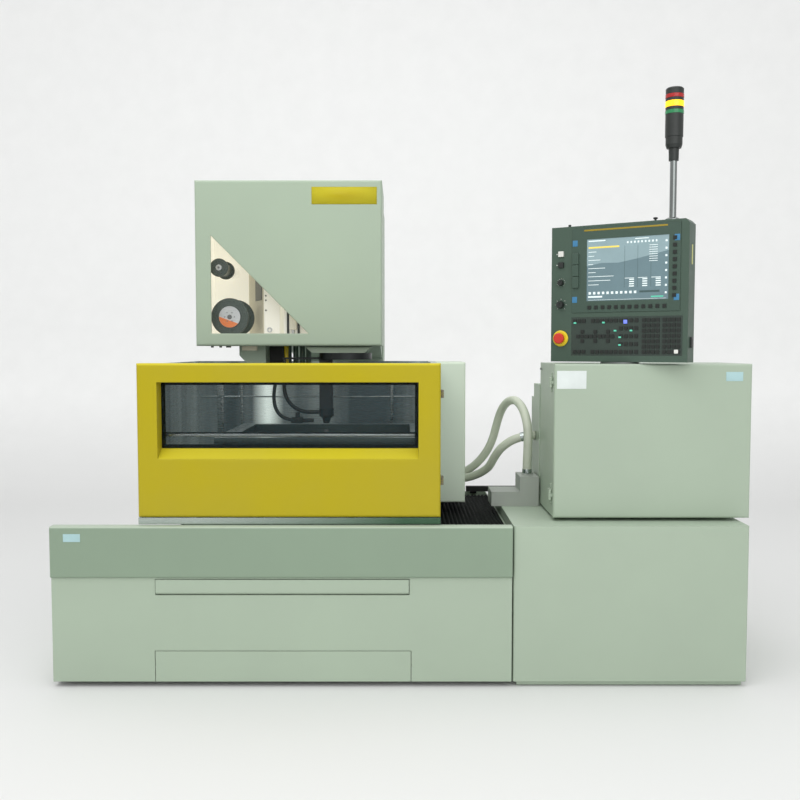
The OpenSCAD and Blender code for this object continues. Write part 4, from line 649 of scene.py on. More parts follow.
@dataclass(frozen=True)
class TankSteel:
    """Stainless sheet with painted reflections in upright bands, a painted highlight strip and
    painted shade.

    Attributes:
        dark: Colour of the dim bands of the painted reflection.
        light: Colour of the lit bands of the painted reflection.
        highlight_colour: Colour of the painted highlight strip, the brightest band.
        reflection_glow: Colour of the painted light that the bands and the highlight strip give
            off.
        plate_lit_left: Colour of the base plate's edge at its left, the lit end of a painted shade.
        plate_shaded_right: Colour of the base plate's edge at its right, darkened by painted shade.
        rim: Painted highlight colour along the edges.
        highlight_low: Lowest corner of the painted highlight strip.
        highlight_high: Highest corner of the painted highlight strip.
        base_top: Height under which the base plate's edge shows.
    """

    dark: Colour = (0.050, 0.085, 0.105)
    light: Colour = (0.30, 0.36, 0.37)
    highlight_colour: Colour = (0.72, 0.76, 0.74)
    reflection_glow: Colour = (0.66, 0.76, 0.70)
    plate_lit_left: Colour = (0.42, 0.48, 0.44)
    plate_shaded_right: Colour = (0.055, 0.120, 0.070)
    rim: Colour = (0.62, 0.66, 0.64)
    highlight_low: Vec = (-0.690, -0.070, 0.640)
    highlight_high: Vec = (-0.545, -0.030, 1.160)
    base_top: float = 0.6075

    def make(self, name: str) -> bpy.types.Material:
        """Makes the material."""
        tree = Tree(name)
        normal, edge = tree.edge(0.002)
        # Painted reflection: upright bands of dim and lit colour.
        bands = tree.span(tree.noise((7.0, 5.0, 0.35), 4), 0.0, 1.0, 0.42, 0.66)
        tone = tree.mix(bands, self.dark, self.light)
        parts = tree.parts()
        # Painted highlight: a bright strip that fades towards its sides.
        middle = (self.highlight_low[0] + self.highlight_high[0]) / 2
        off = tree.math("ABSOLUTE", tree.math("SUBTRACT", parts[0], middle))
        half = (self.highlight_high[0] - self.highlight_low[0]) / 2
        strip = tree.math("MULTIPLY", tree.inside(self.highlight_low, self.highlight_high),
                          tree.span(off, 1.0, 0.0, half * 0.10, half))
        tone = tree.mix(strip, tone, self.highlight_colour)
        # Painted shade on the base plate's edge: lit at the left, dark green at the right.
        along = tree.span(parts[0], 0.0, 1.0, -0.75, 0.0)
        plate = tree.mix(along, self.plate_lit_left, self.plate_shaded_right)
        low = tree.math("LESS_THAN", parts[2], self.base_top)
        tone = tree.mix(low, tone, plate)
        # Painted highlight along the edges.
        tone = tree.mix(tree.math("MULTIPLY", edge, 0.5), tone, self.rim)
        lines = tree.noise((14.0, 14.0, 700.0), 4)
        rough = tree.span(lines, 0.22, 0.36, 0.3, 0.7)
        made = tree.finish(tone, rough, lines, 0.02, 0.2 * MM, normal, 0.75)
        # Painted light: the highlight strip and the lit bands give off light above the base plate.
        lit = tree.math("ADD", tree.math("MULTIPLY", strip, 1.05), tree.span(bands, 0.045, 0.150))
        tree.glow(self.reflection_glow, tree.math("MULTIPLY", lit, tree.math("SUBTRACT", 1.0, low)))
        return made


@dataclass(frozen=True)
class Moulded:
    """Plastic, rubber or film with a fine moulded texture and a painted highlight along its edges.

    Attributes:
        colour: Linear colour.
        roughness: Mean roughness.
        grain: Noise scale of the texture.
        strength: Strength of its bump.
        glow: Emission strength in the piece's own colour.
        gloss: Specular level.
    """

    colour: Colour
    roughness: float = 0.5
    grain: float = 1500.0
    strength: float = 0.08
    glow: float = 0.0
    gloss: float = 0.5

    def make(self, name: str) -> bpy.types.Material:
        """Makes the material."""
        tree = Tree(name)
        normal, edge = tree.edge(0.0008)
        cloud = tree.span(tree.noise(14, 3), 0, 1, 0.3, 0.7)
        tone = tree.mix(cloud, self.colour, shade(self.colour, 0.88))
        # Painted highlight: a lighter colour along the edges.
        tone = tree.mix(tree.math("MULTIPLY", edge, 0.35), tone, shade(self.colour, 1.5))
        rough = tree.span(tree.noise(60, 3), self.roughness - 0.07, self.roughness + 0.07)
        made = tree.finish(tone, rough, tree.noise(self.grain, 2), self.strength, 0.15 * MM, normal)
        tree.shader.inputs["Specular IOR Level"].default_value = self.gloss
        if self.glow:
            tree.glow(self.colour, self.glow)
        return made


@dataclass(frozen=True)
class Clear:
    """A clear pane that lets light through, with a faint haze.

    Attributes:
        colour: Tint of the pane.
        alpha: Share of the pane's own look.
        roughness: Roughness of its gloss.
    """

    colour: Colour
    alpha: float
    roughness: float = 0.04

    def make(self, name: str) -> bpy.types.Material:
        """Makes the material."""
        tree = Tree(name)
        smear = tree.noise((3.0, 3.0, 9.0), 5)
        rough = tree.span(smear, self.roughness, self.roughness + 0.08, 0.35, 0.7)
        made = tree.finish(self.colour, rough, tree.noise(6.0, 2), 0.02, MM)
        tree.shader.inputs["Alpha"].default_value = self.alpha
        tree.shader.inputs["IOR"].default_value = 1.5
        made.surface_render_method = "BLENDED"
        return made


# Finishes

# Painted highlight colours for edges, and painted light for faces that look up.
SAGE_EDGE_HIGHLIGHT: Colour = (0.52, 0.61, 0.49)
SAGE_LIT_TOP: Colour = (0.47, 0.56, 0.45)
SAGE = Paint((0.395, 0.480, 0.375), edge_highlight=SAGE_EDGE_HIGHLIGHT, lit_top_colour=SAGE_LIT_TOP)
COVER = Paint((0.375, 0.462, 0.355), edge_highlight=(0.56, 0.65, 0.52), edge_r=0.008,
              lit_top_colour=SAGE_LIT_TOP)
# CREAM and LID glow as painted light inside the closed head.
CREAM = Paint((0.84, 0.82, 0.73), 0.5, glow=0.42)
LID = Paint((0.80, 0.77, 0.66), 0.5, glow=0.04)
POST_BLACK = Paint((0.012, 0.013, 0.012), 0.42, grain=500.0)
LEAF = Paint((0.33, 0.41, 0.32), 0.55, grain=160.0, peel=0.25)
HINGE = Paint((0.22, 0.20, 0.14), 0.45, grain=300.0)
# The yellow door paint also has a painted edge highlight and painted light on its upward faces.
YELLOW = Paint((0.455, 0.370, 0.008), 0.40, edge_highlight=(0.78, 0.70, 0.05), edge_r=0.006,
               gloss=0.15, lit_top_colour=(0.66, 0.56, 0.015))


class Finish(Enum):
    """The finishes that CAD nodes and pieces take."""

    # Edge colours in this list are painted highlights, and top colours are painted light.
    SAGE = SAGE
    YELLOW = YELLOW
    PANEL = Paint((0.058, 0.098, 0.072), 0.46, edge_highlight=(0.14, 0.20, 0.16), grain=650.0,
                  peel=0.12)
    BEZEL = Paint((0.050, 0.088, 0.066), 0.5, edge_highlight=(0.12, 0.18, 0.14), grain=800.0)
    APRON = Paint((0.255, 0.340, 0.248), edge_highlight=SAGE_EDGE_HIGHLIGHT, lit_top_colour=SAGE_LIT_TOP)
    # The threading unit glows as painted light inside the closed head.
    THREADER = Paint((0.80, 0.79, 0.71), 0.5, glow=0.24)
    LEAF = LEAF
    GREY = Paint((0.40, 0.43, 0.39), 0.5, grain=300.0)
    BLACK_PAINT = Paint((0.018, 0.020, 0.018), 0.42, grain=500.0)
    HINGE = HINGE
    STEEL = Metal((0.58, 0.60, 0.60))
    GROUND = Metal((0.12, 0.155, 0.145), 0.32, streaks=(700.0, 18.0, 700.0),
                   lit_top_colour=(0.44, 0.47, 0.46))
    DARK_STEEL = Metal((0.20, 0.21, 0.21), 0.4, streaks=(300.0, 300.0, 20.0))
    STAINLESS = Metal((0.50, 0.55, 0.54), 0.27, streaks=(9.0, 9.0, 700.0))
    CHROME = Metal((0.27, 0.29, 0.285), 0.14, streaks=(200.0, 200.0, 12.0), strength=0.02)
    BLACK_METAL = Metal((0.030, 0.034, 0.034), 0.36, streaks=(250.0, 250.0, 20.0), metallic=0.6)
    RUBBER = Moulded((0.007, 0.009, 0.008), 0.75, grain=900.0, strength=0.2, gloss=0.15)
    BLACK = Moulded((0.016, 0.020, 0.018), 0.42)
    KEY = Moulded((0.010, 0.014, 0.011), 0.36)
    KEY_FILM = Moulded((0.030, 0.048, 0.038), 0.48, grain=2400.0, strength=0.14)
    HOSE = Moulded((0.66, 0.70, 0.58), 0.40, grain=260.0, strength=0.05)
    REEL = Moulded((0.050, 0.072, 0.062), 0.34)
    WHITE = Moulded((0.80, 0.80, 0.76), 0.35)
    PLATE = Moulded((0.42, 0.62, 0.64), 0.4)
    PALE_PLATE = Moulded((0.76, 0.82, 0.80), 0.45)
    YELLOW_PLASTIC = Moulded((0.85, 0.62, 0.02), 0.35)
    RED = Moulded((0.66, 0.035, 0.020), 0.30)
    ORANGE = Moulded((0.80, 0.22, 0.06), 0.40)
    BLUE = Moulded((0.05, 0.22, 0.42), 0.38)
    BLUE_LIT = Moulded((0.16, 0.22, 0.85), 0.35, glow=0.5)
    GREEN_LIT = Moulded((0.10, 0.52, 0.36), 0.35, glow=0.4)
    GREEN_LENS = Moulded((0.020, 0.20, 0.075), 0.22, glow=0.15)
    AMBER_LENS = Moulded((1.0, 0.50, 0.010), 0.20, glow=1.5)
    RED_LENS = Moulded((0.36, 0.012, 0.012), 0.20, glow=0.2)
    TUBE = Moulded((0.11, 0.17, 0.13), 0.38)
    PEARL = Moulded((0.85, 0.83, 0.72), 0.32)
    WINDOW = Clear((0.010, 0.028, 0.034), 0.22)
    SCREEN = Moulded((0.11, 0.17, 0.19), 0.16, grain=30.0, strength=0.01, glow=0.5)
    SCREEN_SKY = Moulded((0.20, 0.28, 0.30), 0.2, grain=30.0, strength=0.01, glow=0.55)
    SCREEN_WHITE = Moulded((0.62, 0.70, 0.70), 0.3, strength=0.01, glow=0.6)
    SCREEN_DARK = Moulded((0.05, 0.09, 0.09), 0.3, strength=0.01, glow=0.3)
    SCREEN_YELLOW = Moulded((0.70, 0.55, 0.10), 0.3, strength=0.01, glow=0.6)
    STRIP = Moulded((0.34, 0.24, 0.012), 0.4)
    PALE_STRIP = Moulded((0.62, 0.62, 0.22), 0.45)
    # Cream paint darkened as painted shade, with a painted glow, for the folded guide panel and the
    # cable clamp.
    SHADE = Paint((0.50, 0.47, 0.36), 0.55, glow=0.14)
    PANE = Clear((0.30, 0.33, 0.31), 0.03)
    # Pale green paint made lighter as painted light on the recessed side box.
    SIDE_BOX = Paint((0.64, 0.735, 0.60), edge_highlight=(0.78, 0.85, 0.74))
    TANK_STEEL = TankSteel()


NODE_FINISHES = {
    Finish.APRON: ("front_band",),
    Finish.SAGE: ("front_panel", "bed_covers", "fluid_cabinet", "control_cabinet",
                  "control_door", "heat_exchanger", "tool_drawer", "u_slide"),
    Finish.SIDE_BOX: ("tank_side_box",),
    Finish.SCREEN: ("screen_glass",),
    Finish.PANEL: ("panel_housing",),
    Finish.BEZEL: ("screen_bezel",),
    Finish.THREADER: ("threading_unit",),
    Finish.LEAF: ("bed_casting", "tank_saddle", "column_casting"),
    Finish.GREY: ("hose_manifold", "filter_canisters", "fluid_pump", "amplifier_rack"),
    Finish.BLACK_PAINT: ("cable_tray",),
    Finish.HINGE: ("door_hinges",),
    Finish.STEEL: ("axis_rails", "lower_arm"),
    Finish.GROUND: ("work_table",),
    Finish.DARK_STEEL: ("levelling_feet", "swivel_post", "lower_guide", "takeup_roller"),
    Finish.STAINLESS: ("seal_plate",),
    Finish.TANK_STEEL: ("tank_shell",),
    Finish.CHROME: ("signal_pole",),
    Finish.BLACK_METAL: ("upper_guide",),
    Finish.RUBBER: ("window_gasket",),
    Finish.BLACK: ("signal_body", "black_button", "feed_knob", "mode_knob"),
    Finish.KEY: ("key_caps",),
    Finish.KEY_FILM: ("key_panel",),
    Finish.TUBE: ("feed_tubes",),
    Finish.REEL: ("wire_spool", "guide_roller"),
    Finish.WHITE: ("white_button",),
    Finish.YELLOW_PLASTIC: ("emergency_ring",),
    Finish.RED: ("emergency_button",),
    Finish.GREEN_LENS: ("lens_green",),
    Finish.AMBER_LENS: ("lens_amber",),
    Finish.RED_LENS: ("lens_red",),
    Finish.WINDOW: ("window_glass",),
    Finish.PANE: ("cover_pane",),
}
MADE: dict[str, bpy.types.Material] = {}


def material(finish: Finish) -> bpy.types.Material:
    """The material of a finish, made once."""
    if finish.name not in MADE:
        MADE[finish.name] = finish.value.make(finish.name.lower())
    return MADE[finish.name]


def dress(node: bpy.types.Object, made: bpy.types.Material) -> None:
    """Gives a CAD node one material."""
    node.data.materials.clear()
    node.data.materials.append(made)


def dress_nodes(nodes: dict[str, bpy.types.Object]) -> None:
    """Gives every CAD node its procedural material.

    The head box and its cover are cream inside, with a painted glow as if lit inside the closed
    head;
    the hinge leaves on the tank door have their own paint, and so has the post under the head
    carriage. Each of these paints starts inside a box worked out from the node's own corners.

    Args:
        nodes: The CAD nodes by name.
    """
    for finish, names in NODE_FINISHES.items():
        for name in names:
            dress(nodes[name], material(finish))
    open_side = np.array([0.0, 0.1, 0.0])
    for name, outside, inside, front, back in (("head_box", SAGE, CREAM, open_side, 0.0),
                                               ("head_cover", COVER, LID, 0.0, open_side)):
        low, high = (np.array(v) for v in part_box(name))
        low[0] = high[0] - HEAD_WIDTH
        low, high = low - front + HEAD_WALL_DEPTH, high + back - HEAD_WALL_DEPTH
        dress(nodes[name], outside.make(name, inside, low, high))
    dress(nodes["head_carriage"], LEAF.make("head_carriage", POST_BLACK, POST_LOW, POST_HIGH))
    low, high = (np.array(v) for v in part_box("door_hinges"))
    dress(nodes["tank_door"], YELLOW.make("tank_door", HINGE, low - HINGE_LEAF * (0, 1, 1),
                                          high + HINGE_LEAF))


# Flexible pieces

@dataclass(frozen=True)
class Hose:
    """A smooth fluid hose between the manifold side and the tank.

    Attributes:
        node: CAD node that it stands for.
        route: Points of its centreline, cabinet end first.
        diameter: Its diameter.
        step: Distance between the points of its smooth path.
        sides: Steps round it.
        clamp_wall: How far a clamp stands off the hose.
        screw_half: Half the size of a clamp's screw block.
    """

    node: str
    route: tuple[Vec, ...]
    diameter: float = 0.0354
    step: float = 0.006
    sides: int = 28
    clamp_wall: float = 1.5 * MM
    screw_half: float = 5 * MM

    def build(self) -> bpy.types.Object:
        """Makes the hose and its two clamps.

        Returns:
            The hose.
        """
        path = smooth_path(self.route, self.step)
        hose = Gathered(self.node + "_skin").add(tube(path, self.diameter / 2, self.sides))
        made = hose.build("", [material(Finish.HOSE)], "cream_hose")
        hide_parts(self.node)
        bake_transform(made)
        for body, spot in (("root", path[4:9]), ("tank", path[-9:-4])):
            clamp = Gathered(f"{self.node}_clamp_{body}")
            clamp.add(tube(spot, self.diameter / 2 + self.clamp_wall, self.sides))
            centre = spot[2] - np.array([0.0, self.diameter / 2 + 2 * self.clamp_wall, 0.0])
            low, high = centre - self.screw_half, centre + self.screw_half
            clamp.add(rounded_box(low, high, self.clamp_wall))
            clamp.build(body, [material(Finish.STAINLESS)], "stainless")
        return made


def millimetres(*points: Vec) -> tuple[Vec, ...]:
    """Points typed in millimetres, as in the CAD source, in metres."""
    return tuple(tuple(v * MM for v in p) for p in points)


HOSES = (
    Hose("supply_hose", millimetres(
        (498, -515, 668), (498, -515, 708), (498, -517, 747), (499, -521, 786), (500, -523, 826),
        (500, -520, 865), (498, -508, 902), (493, -487, 935), (485, -459, 962), (476, -426, 980),
        (465, -389, 990), (453, -351, 989), (441, -315, 979), (429, -282, 960), (419, -256, 933),
        (410, -236, 899), (402, -223, 863), (393, -215, 825), (380, -209, 788), (363, -202, 754),
        (341, -192, 722), (316, -178, 694), (290, -160, 671), (261, -141, 652), (227, -125, 639),
        (190, -112, 630), (170, -110, 628), (151, -110, 628))),
    Hose("return_hose", millimetres(
        (538, -450, 850), (522, -450, 850), (505, -448, 848), (476, -442, 840), (448, -433, 828),
        (424, -420, 811), (404, -405, 791), (390, -388, 769), (379, -368, 746), (371, -347, 724),
        (362, -324, 704), (349, -300, 687), (332, -277, 672), (312, -256, 659), (290, -236, 648),
        (266, -216, 640), (241, -197, 634), (213, -182, 631), (183, -172, 629), (169, -170, 628),
        (151, -170, 628))),
)


@dataclass(frozen=True)
class Bellows:
    """A pleated way cover between the bed and the tank saddle.

    Its height along X is a row of ridges: each fold rises from its valley to a narrow
    crest and falls again. The same line is carried across Y and bent down at both ends.

    Attributes:
        node: CAD node that it stands for.
        pleats: Number of folds.
        tank_high: Whether the tank is on its +X side.
        depth: Depth of a fold.
        crest: Places along a fold, as shares of it.
        drops: Depths at those places, as shares of the depth.
        shoulder: Width and drop of the bend at the two ends of a fold.
    """

    node: str
    pleats: int
    tank_high: bool
    depth: float = 0.007
    crest: tuple[float, ...] = (0.0, 0.42, 0.5, 0.58)
    drops: tuple[float, ...] = (1.0, 0.12, 0.0, 0.12)
    shoulder: tuple[float, float] = (3 * MM, 2 * MM)

    def build(self) -> bpy.types.Object:
        """Makes the folded sheet and bends it between the bed and the tank.

        Returns:
            The sheet.
        """
        low, high = (np.array(v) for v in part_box(self.node))
        stops = (np.arange(self.pleats)[:, None] + np.array(self.crest)).ravel() / self.pleats
        x = low[0] + np.append(stops, 1.0) * (high[0] - low[0])
        top = high[2] - np.append(np.tile(self.drops, self.pleats), self.drops[0]) * self.depth
        foot, (across, down) = np.full_like(x, low[2]), self.shoulder
        line = ((low[1], foot), (low[1], top - down), (low[1] + across, top),
                (high[1] - across, top), (high[1], top - down), (high[1], foot))
        rows = [np.stack([x, np.full_like(x, y), z], axis=1) for y, z in line]
        points = np.concatenate(rows)
        faces = grid_faces(len(rows), len(x))[:, ::-1]
        made = Gathered(self.node + "_folds").add((points, faces.tolist())).build(
            "", [material(Finish.RUBBER)], "black_rubber", smooth_deg=20.0)
        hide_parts(self.node)
        if self.tank_high:
            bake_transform(made)
        else:
            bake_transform(made)
        return made


# Rigid detail

def slab(low: Sequence[float], high: Sequence[float]) -> Shape:
    """A plain box.

    Args:
        low: Lowest corner.
        high: Highest corner.

    Returns:
        The points and the faces.
    """
    outline = [(low[0], low[2]), (high[0], low[2]), (high[0], high[2]), (low[0], high[2])]
    return prism(outline, 1, low[1], high[1])


def disc(centre: Vec, radius: float, depth: float, sides: int = 40) -> Shape:
    """A flat round plate that faces the front.

    Args:
        centre: Centre of its front.
        radius: Its radius.
        depth: Its thickness.
        sides: Steps round it.

    Returns:
        The points and the faces.
    """
    x, y, z = centre
    turn = np.linspace(0, math.tau, sides, endpoint=False)
    outline = np.stack([x + radius * np.cos(turn), z + radius * np.sin(turn)], axis=1)
    return prism(outline, 1, y, y + depth)


def upright(centre: Vec, radius: float, height: float, sides: int = 32) -> Shape:
    """A rod that stands on a point and has bevelled rims.

    Args:
        centre: Middle of its foot.
        radius: Its radius.
        height: Its height.
        sides: Steps round it.

    Returns:
        The points and the faces.
    """
    rim = min(radius, height) * 0.2
    profile = ((0.0, 0.0), (radius - rim, 0.0), (radius, rim), (radius, height - rim),
               (radius - rim, height), (0.0, height))
    return lathe(profile, centre, 2, sides)


@dataclass(frozen=True)
class Plate:
    """A small rounded block or blank plate.

    Attributes:
        name: Name of the piece.
        body: Body that it rides on.
        low: Lowest corner in millimetres.
        high: Highest corner in millimetres.
        finish: Its finish.
        slot: The record's material slot.
        radius: Radius of its edges in millimetres.
    """

    name: str
    body: str
    low: Vec
    high: Vec
    finish: Finish
    slot: str
    radius: float = 0.4

    def build(self) -> bpy.types.Object:
        """Makes the block.

        Returns:
            The block.
        """
        shape = rounded_box(np.array(self.low) * MM, np.array(self.high) * MM, self.radius * MM)
        return Gathered(self.name).add(shape).build(self.body, [material(self.finish)], self.slot)


PLATES = (
    Plate("door_plate_left", "cabinet_door", (549, -901, 1062), (655, -899.6, 1127),
          Finish.PALE_PLATE, "white_plastic"),
    Plate("door_plate_right", "cabinet_door", (1158, -901, 1090), (1219, -899.6, 1123),
          Finish.PLATE, "grey_plastic"),
    Plate("apron_plate", "root", (-1205, -1001, 526), (-1145, -999.6, 554),
          Finish.PLATE, "grey_plastic"),
    Plate("cover_band", "feed_cover", (-355, -660.7, 1758), (-105, -659.8, 1824),
          Finish.YELLOW, "yellow_paint", 0.3),
    # The cable clamp takes cream paint darkened as painted shade.
    Plate("cable_clamp", "head", (-644, -560, 1199), (-585, -541, 1216.8),
          Finish.SHADE, "cream_paint", 2.0),
)


@dataclass(frozen=True)
class OperatorPanel:
    """Picture, lit keys, marks and studs of the operator panel.

    Places are millimetres on the panel's own face: X along it, Z up it, and Y into it.

    Attributes:
        corner: Lower left front corner of the panel in the frame.
        screen_low: Lower left corner of the screen.
        screen_high: Upper right corner of the screen.
        skyline: Line between the picture's two halves, from the screen's lower left corner.
        layers: Depths of the skyline field's front and back, and of the bars' front and back.
        line_widths: Widths of the short lines down the left side of the picture.
        pad_xs: Left sides of the corner pads.
        pad_zs: Lower sides of the corner pads.
        pad_size: Width and height of a corner pad.
        green_keys: Centres of the keys that are lit green.
        key_half: Half the width and height of such a key.
        dials: Height, inner and outer radius of the marks, and their number, of each dial.
        dial_x: Place of the dials across the panel.
        dial_reach: Share of a half turn that the marks reach to each side.
        mark_zs: Heights of the marks beside the two push buttons.
        studs: Place across the panel, foot, radius and height of each stud on the top edge.
    """

    corner: Vec = (556.5, -717.0, 1158.0)
    screen_low: tuple[float, float] = (139.0, 224.0)
    screen_high: tuple[float, float] = (441.0, 450.0)
    skyline: tuple[tuple[float, float], ...] = (
        (0, 128), (55, 138), (120, 136), (200, 150), (302, 172))
    layers: tuple[float, float, float, float] = (-0.42, -0.3, -0.5, -0.41)
    line_widths: tuple[float, ...] = (30, 22, 46, 18, 64, 28, 96, 84, 40)
    pad_xs: tuple[float, float] = (84.0, 460.0)
    pad_zs: tuple[float, float] = (219.0, 427.0)
    pad_size: tuple[float, float] = (19.0, 22.0)
    green_keys: tuple[tuple[float, float], ...] = (
        (250, 114), (268, 90), (268, 62), (206, 144), (96, 144), (309, 114))
    key_half: tuple[float, float] = (5.0, 3.0)
    dials: tuple[tuple[float, float, float, int], ...] = (
        (295.0, 14.0, 17.0, 11), (213.0, 18.0, 23.0, 7))
    dial_x: float = 39.0
    dial_reach: float = 0.75
    mark_zs: tuple[float, float] = (402.0, 361.0)
    studs: tuple[tuple[float, float, float, float], ...] = (
        (55.0, 501.5, 5.5, 13.0), (379.0, 501.5, 4.0, 12.0), (379.0, 512.0, 8.0, 6.0))

    def place(self) -> np.ndarray:
        """The matrix from the panel's own millimetres to the row frame."""
        cos, sin = math.cos(PANEL_TURN), math.sin(PANEL_TURN)
        turned = np.array([[cos, sin, 0, 0], [-sin, cos, 0, 0], [0, 0, 1, 0], [0, 0, 0, 1.0]])
        turned[:3, :3] *= MM
        turned[:3, 3] = np.array(self.corner) * MM
        return turned

    def white_bars(self) -> list[Bar]:
        """Rows of soft buttons, short lines and number fields of the picture.

        Returns:
            Left, right, lower and upper side of each bar.
        """
        (x0, z0), (x1, z1) = self.screen_low, self.screen_high
        bars = [(x0 + 6, x0 + 70, z1 - 9, z1 - 5), (x0 + 180, x0 + 230, z1 - 9, z1 - 6),
                (x0 + 6, x0 + 60, z0 + 12, z0 + 18), (x0 + 6, x1 - 8, z0 + 3, z0 + 4)]
        bars += [(x0 + 150 + 13 * i, x0 + 156 + 13 * i, z1 - 22, z1 - 15) for i in range(9)]
        bars += [(x1 - 13, x1 - 6, z0 + 20 + 26 * i, z0 + 27 + 26 * i) for i in range(8)]
        bars += [(x0 + 6, x0 + 6 + width, z1 - 48 - 15 * i, z1 - 46 - 15 * i)
                 for i, width in enumerate(self.line_widths)]
        for column in (144, 192, 240):
            bars += [(x0 + column, x0 + column + 34, z0 + 78, z0 + 80)]
            bars += [(x0 + column + 16, x0 + column + 34, z0 + 48 + 8 * i, z0 + 52 + 8 * i)
                     for i in range(4)]
        bars += [(x0 + 232, x0 + 262, z1 - 34 - 8 * i, z1 - 32 - 8 * i) for i in range(8)]
        bars += [(x0 + 8 + 17 * i, x0 + 17 + 17 * i, z0 + 24, z0 + 33) for i in range(11)]
        return bars

    def build_picture(self) -> None:
        """A generic picture of bars, fields and soft buttons on the screen."""
        (x0, z0), (x1, z1) = self.screen_low, self.screen_high
        sky_front, sky_back, bar_front, bar_back = self.layers
        picture, at = Gathered("screen_picture"), self.place()
        outline = [(x0, z1), *((x0 + x, z0 + z) for x, z in self.skyline), (x1, z1)]
        picture.add(prism(outline[::-1], 1, sky_front, sky_back), 0, at)
        dark = [(x0 + 198, x0 + 270, z0 + 26, z0 + 33)]
        dark += [(x0 + column, x0 + column + 1, z0 + 46, z1 - 30) for column in (142, 190, 238)]
        yellow = [(x0 + 6, x0 + 122, z1 - 34, z1 - 28)]
        green = [(x0 + 240, x0 + 284, z0 + 8, z0 + 13)]
        for slot, front, bars in ((1, bar_front, self.white_bars()), (2, bar_front + 0.03, dark),
                                  (3, bar_front, yellow), (4, bar_front, green)):
            for left, right, low, high in bars:
                picture.add(slab((left, front, low), (right, bar_back, high)), slot, at)
        picture.build("operator_panel", [material(f) for f in (
            Finish.SCREEN_SKY, Finish.SCREEN_WHITE, Finish.SCREEN_DARK, Finish.SCREEN_YELLOW,
            Finish.GREEN_LIT)], "screen")

    def build_trim(self) -> None:
        """Corner pads of the bezel and the strip over the screen."""
        pads, at = Gathered("bezel_pads"), self.place()
        width, height = self.pad_size
        for x in self.pad_xs:
            for z in self.pad_zs:
                pads.add(rounded_box((x, -3.2, z), (x + width, -2.3, z + height), 0.4), 0, at)
        pads.build("operator_panel", [material(Finish.BLUE)], "grey_plastic")
        strip = Gathered("bezel_strip")
        strip.add(rounded_box((128, -3.1, 480), (436, -2.3, 486), 0.35), 0, at)
        strip.build("operator_panel", [material(Finish.STRIP)], "yellow_plastic")

    def build_keys(self) -> None:
        """The blue, green and white keys that are lit."""
        lit, at = Gathered("lit_keys"), self.place()
        lit.add(rounded_box((281, -4.6, 139), (295, -0.2, 153), 1.5), 0, at)
        across, up = self.key_half
        for x, z in self.green_keys:
            lit.add(rounded_box((x - across, -4.2, z - up), (x + across, -0.2, z + up), 1.0), 1, at)
        lit.add(rounded_box((464, -4.4, 31), (479, -0.2, 45), 2.5), 2, at)
        lit.build("operator_panel", [material(f) for f in (
            Finish.BLUE_LIT, Finish.GREEN_LIT, Finish.WHITE)], "key_plastic")

    def build_marks(self) -> None:
        """Marks round the two dials, which point away from them, and beside the buttons."""
        marks, at = Gathered("dial_marks"), self.place()
        for z, inner, outer, count in self.dials:
            for turn in np.linspace(-self.dial_reach, self.dial_reach, count) * math.pi:
                away = np.array([math.sin(turn), math.cos(turn)])
                across = np.array([away[1], -away[0]]) * 0.5
                centre = np.array([self.dial_x, z])
                near, far = centre + inner * away, centre + outer * away
                quad = (near - across, far - across, far + across, near + across)
                marks.add(prism(quad, 1, -0.35, 0.1), 0, at)
        for z in self.mark_zs:
            marks.add(slab((20, -0.35, z - 2), (23, 0.1, z + 2)), 0, at)
        marks.build("operator_panel", [material(Finish.WHITE)], "white_plastic")

    def build_fittings(self) -> None:
        """Studs on the top edge, the plug and the strip on the right side."""
        fittings, at = Gathered("panel_fittings"), self.place()
        for x, foot, radius, height in self.studs:
            fittings.add(upright((x, 40.0, foot), radius, height), 0, at)
        fittings.add(rounded_box((508, 26, 52), (518, 54, 90), 2.0), 0, at)
        fittings.add(rounded_box((510.5, 34, 345), (511.6, 46, 414), 0.4), 1, at)
        fittings.build("operator_panel", [material(Finish.BLACK), material(Finish.PALE_STRIP)],
                       "black_plastic")

    def build(self) -> None:
        """Makes every piece of the panel."""
        self.build_picture()
        self.build_trim()
        self.build_keys()
        self.build_marks()
        self.build_fittings()


